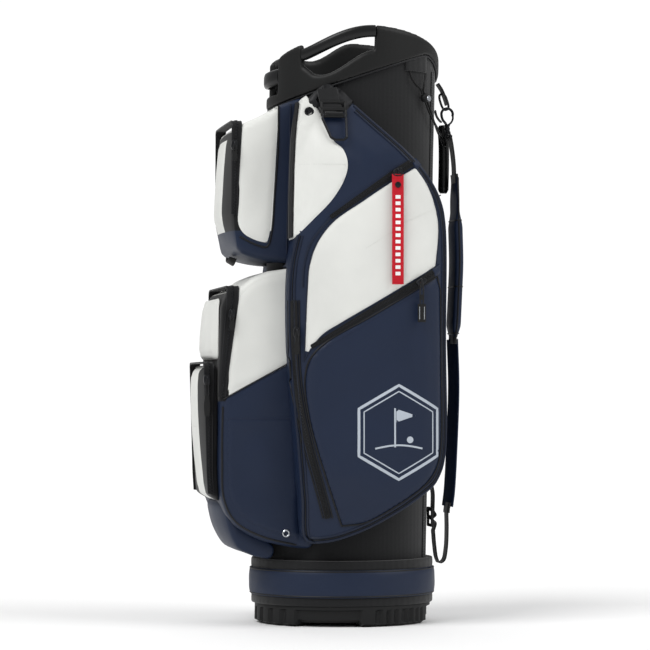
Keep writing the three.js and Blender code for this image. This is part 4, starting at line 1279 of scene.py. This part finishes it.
def spine_parts():
    grip = spline([(0, 159, 766), (0, 161, 735), (0, 161, 700), (0, 160, 660)], 3)
    swell = lambda t: 8.3 * (0.62 + 0.38 * smooth(min(t, 1 - t) / 0.05))
    tube("spine_grip_visual", grip, swell, "grip", sides=28, replaces="spine_grip")
    for node in ("spine_web_top", "spine_web_bottom"):
        rounded(node + "_visual", node, "webbing")
    bevelled("cord_tab_visual", "cord_tab", "webbing")


def strap_line(points, spacing):
    """A smooth line in the strap's plane through (y, z) points."""
    return spline([(STRAP_X, y - 4, z) for y, z in points], spacing)


def link(name, low, high, half, radius):
    """An oval chain link between two points, lying in a plane across X."""
    low, high = Vector(low), Vector(high)
    along = (high - low).normalized()
    side = Vector((1, 0, 0)).cross(along)
    middle = (low + high) / 2
    length = (high - low).length / 2
    path = [middle + along * length * squared(sin(a), 0.7) + side * half * squared(cos(a), 0.7)
            for a in turns(40)]
    tube(name, path, radius, "metal", closed=True)


def snap_hook():
    """An open loop of wire on a stem, closed by its gate."""
    x, y, centre, radius = STRAP_X, 161, 781, 9
    arc = [(x, y + radius * cos(radians(a)), centre + radius * sin(radians(a)))
           for a in steps(-20, 180, 12)]
    stem = [(x, y - 7.2, 773), (x, y - 2, 766), (x, y, 758), (x, y, 748)]
    tube("snap_hook_visual", spline(arc + stem, 1.5), lambda t: 2.0 + 0.7 * smooth((t - 0.7) / 0.2),
         "metal", sides=12, replaces="snap_hook")
    gate = spline([(x, y + 9.0, 778.5), (x, y + 9.0, 774), (x, y + 6.6, 768.5), (x, y + 2, 764.6)], 1)
    tube("hook_gate_visual", gate, 1.5, "metal", "hook_gate", sides=10, replaces="hook_gate")


def strap_joins():
    """The link, the swivel and the loops of webbing that join the strap's parts end to end."""
    x = STRAP_X
    link("strap_link", (x, 160, 788), (x, 152, 812), 5.5, 1.8)
    barrel = [(0.02, 0), (3.6, 0), (4.2, 0.8), (4.2, 5), (3.4, 6), (3.4, 7), (4.2, 8),
              (4.2, 10), (0.02, 10.6)]
    lathe("hook_swivel", barrel, (x, 161, 755), (0, 0.05, 1), "metal")
    ring = [(x - 11, 162, 753), (x + 11, 162, 753), (x + 11, 164, 745), (x - 11, 164, 745)]
    tube("hook_ring", straight_sides(ring, 8), 1.7, "metal", closed=True, sides=8)
    joins = (("upper_web_loop", [(165, 744.5), (166, 746.5), (164, 748)], 20, 3.6),
             ("pad_sleeve", [(172, 688), (172.8, 681), (173, 674)], 34, 5.4),
             ("pad_foot_sleeve", [(170.4, 446), (169.6, 436), (169.4, 426)], 36, 6.0),
             ("tail_sleeve", [(161.4, 182), (160.2, 175), (159.2, 166)], 30, 4.6))
    for name, line, width, thick in joins:
        path = spline([(x, y, z) for y, z in line], 2)
        strap(name, path, width, thick, (1, 0, 0), "webbing")
    anchor = spline([(x, 134, 214), (x, 137.5, 198), (x, 137.6, 180), (x, 137.2, 168)], 3)
    strap("ladder_anchor_web", anchor, 24, 2.2, (1, 0, 0), "webbing")
    weave = spline([(x, 137.2, 170), (x, 141, 163), (x, 136, 157), (x, 141, 151),
                    (x, 138.5, 140)], 1.5)
    strap("ladder_web", weave, 24, 1.6, (1, 0, 0), "webbing")


def strap_parts():
    along_x = (1, 0, 0)
    anchor = strap_line([(149.5, 828), (156, 818), (161, 806), (164.5, 795)], 3)
    strap("strap_anchor_visual", anchor, 20, 2.4, along_x, "webbing", replaces="strap_anchor")
    snap_hook()
    upper = strap_line([(169, 747), (172, 730), (175, 705), (176, 683)], 3)
    strap("strap_web_upper_visual", upper, 24.5, 2.4, along_x, "webbing",
          replaces="strap_web_upper")
    shoulder_pad()
    lower = strap_line([(173, 433), (175, 360), (172, 270), (168, 200), (165, 176)], 5)
    across = Vector((0.95, 0.32, 0))
    strap("strap_lower_visual", lower, 31.5, 3.2, across, "navy", replaces="strap_lower")
    for part, shift in (("left", -13), ("right", 13)):
        line = [p + across * shift for p in lower]
        stitch_line(f"strap_stitches_{part}", line, (-across.y, across.x), "thread", lift=1.4)
    tail = strap_line([(163, 173), (163.5, 140), (162, 110), (158, 93), (151, 89.5), (147, 97),
                       (144.5, 112), (142, 140)], 3)
    strap("strap_tail_visual", tail, 24.5, 2.0, along_x, "webbing", replaces="strap_tail")
    bevelled("ladder_lock_visual", "ladder_lock", "rubber", 0.9)
    strap_joins()


def shoulder_pad():
    """A long foam pad: slim at its top, thick in the middle, with a stitched sleeve below."""
    path = strap_line([(177.5, 682), (177, 640), (178, 600), (179, 550), (177, 500), (174, 436)],
                      3)
    wide = lambda t: 40 + 12 * smooth(t / 0.15) * smooth((1 - t) / 0.1)
    thick = lambda t: 4.5 + 8.5 * smooth((t - 0.2) / 0.12) * smooth((1.02 - t) / 0.1)
    pad = strap("shoulder_pad_visual", path, wide, thick, (1, 0, 0), "navy",
                replaces="shoulder_pad")
    for part, t in (("top", 0.27), ("middle", 0.68), ("foot", 0.97)):
        i = round(t * (len(path) - 1))
        p = path[i]
        w, h = wide(t) / 2 + 0.4, thick(t) / 2 + 0.5
        ring = [p + Vector((w * squared(cos(a), 0.35), h * squared(sin(a), 0.6), 0))
                for a in turns(48)]
        tube(f"pad_binding_{part}", ring, 1.2, "edge", closed=True, sides=8)
    for part, shift in (("left", -1), ("right", 1)):
        line = [p + Vector((shift * (wide(i / (len(path) - 1)) / 2 - 0.2), 0, 0))
                for i, p in enumerate(path)]
        tube(f"pad_edge_{part}", line, 1.5, "edge", sides=8)


# ---- floor and light ----
def stage():
    size = 60
    mesh = bpy.data.meshes.new("floor")
    corners = [(-size, -size, 0), (size, -size, 0), (size, size, 0), (-size, size, 0)]
    mesh.from_pydata(corners, [], [(0, 1, 2, 3)])
    floor = bpy.data.objects.new("floor", mesh)
    material = bpy.data.materials.new("pale_floor")
    material.use_nodes = True
    shader = material.node_tree.nodes["Principled BSDF"]
    shader.inputs["Base Color"].default_value = (0.9, 0.9, 0.9, 1)
    shader.inputs["Roughness"].default_value = 0.9
    mesh.materials.append(material)
    bpy.context.scene.collection.objects.link(floor)


def sun(name, azimuth, elevation, strength, softness):
    """A broad soft light. Azimuth 0 comes from -Y and 90 from +X."""
    data = bpy.data.lights.new(name, "SUN")
    data.energy = strength
    data.angle = radians(softness)
    lamp = bpy.data.objects.new(name, data)
    bpy.context.scene.collection.objects.link(lamp)
    a, e = radians(azimuth), radians(elevation)
    back = Vector((sin(a) * cos(e), -cos(a) * cos(e), sin(e)))
    lamp.rotation_mode = "QUATERNION"
    lamp.rotation_quaternion = (-back).to_track_quat("-Z", "Y")


def lights():
    world = bpy.data.worlds.new("studio")
    bpy.context.scene.world = world
    world.use_nodes = True
    nodes, links = world.node_tree.nodes, world.node_tree.links
    background = nodes["Background"]
    background.inputs["Color"].default_value = (1, 1, 1, 1)
    path = nodes.new("ShaderNodeLightPath")
    level = nodes.new("ShaderNodeMapRange")
    level.inputs["To Min"].default_value = 0.42
    level.inputs["To Max"].default_value = 1.05
    links.new(path.outputs["Is Camera Ray"], level.inputs["Value"])
    links.new(level.outputs[0], background.inputs["Strength"])
    sun("key", 35, 48, 1.75, 35)
    sun("rim", 150, 40, 1.2, 40)
    sun("fill", 270, 55, 0.6, 60)
    bpy.context.scene.view_settings.view_transform = "Standard"


# ---- making everything ----
add_camera()
elastic_cord()
tube_shell()
dividers()
base_parts()
collar_parts()
ball_pocket()
lower_pocket()
front_domes()
side_pocket(1, "right")
side_pocket(-1, "left")
zip_hardware()
emblem(1, "right", bpy.data.objects["lower_panel_right"])
emblem(-1, "left", bpy.data.objects["lower_panel_left"])
towel_parts()
snap()
spine_parts()
strap_parts()
stage()
lights()
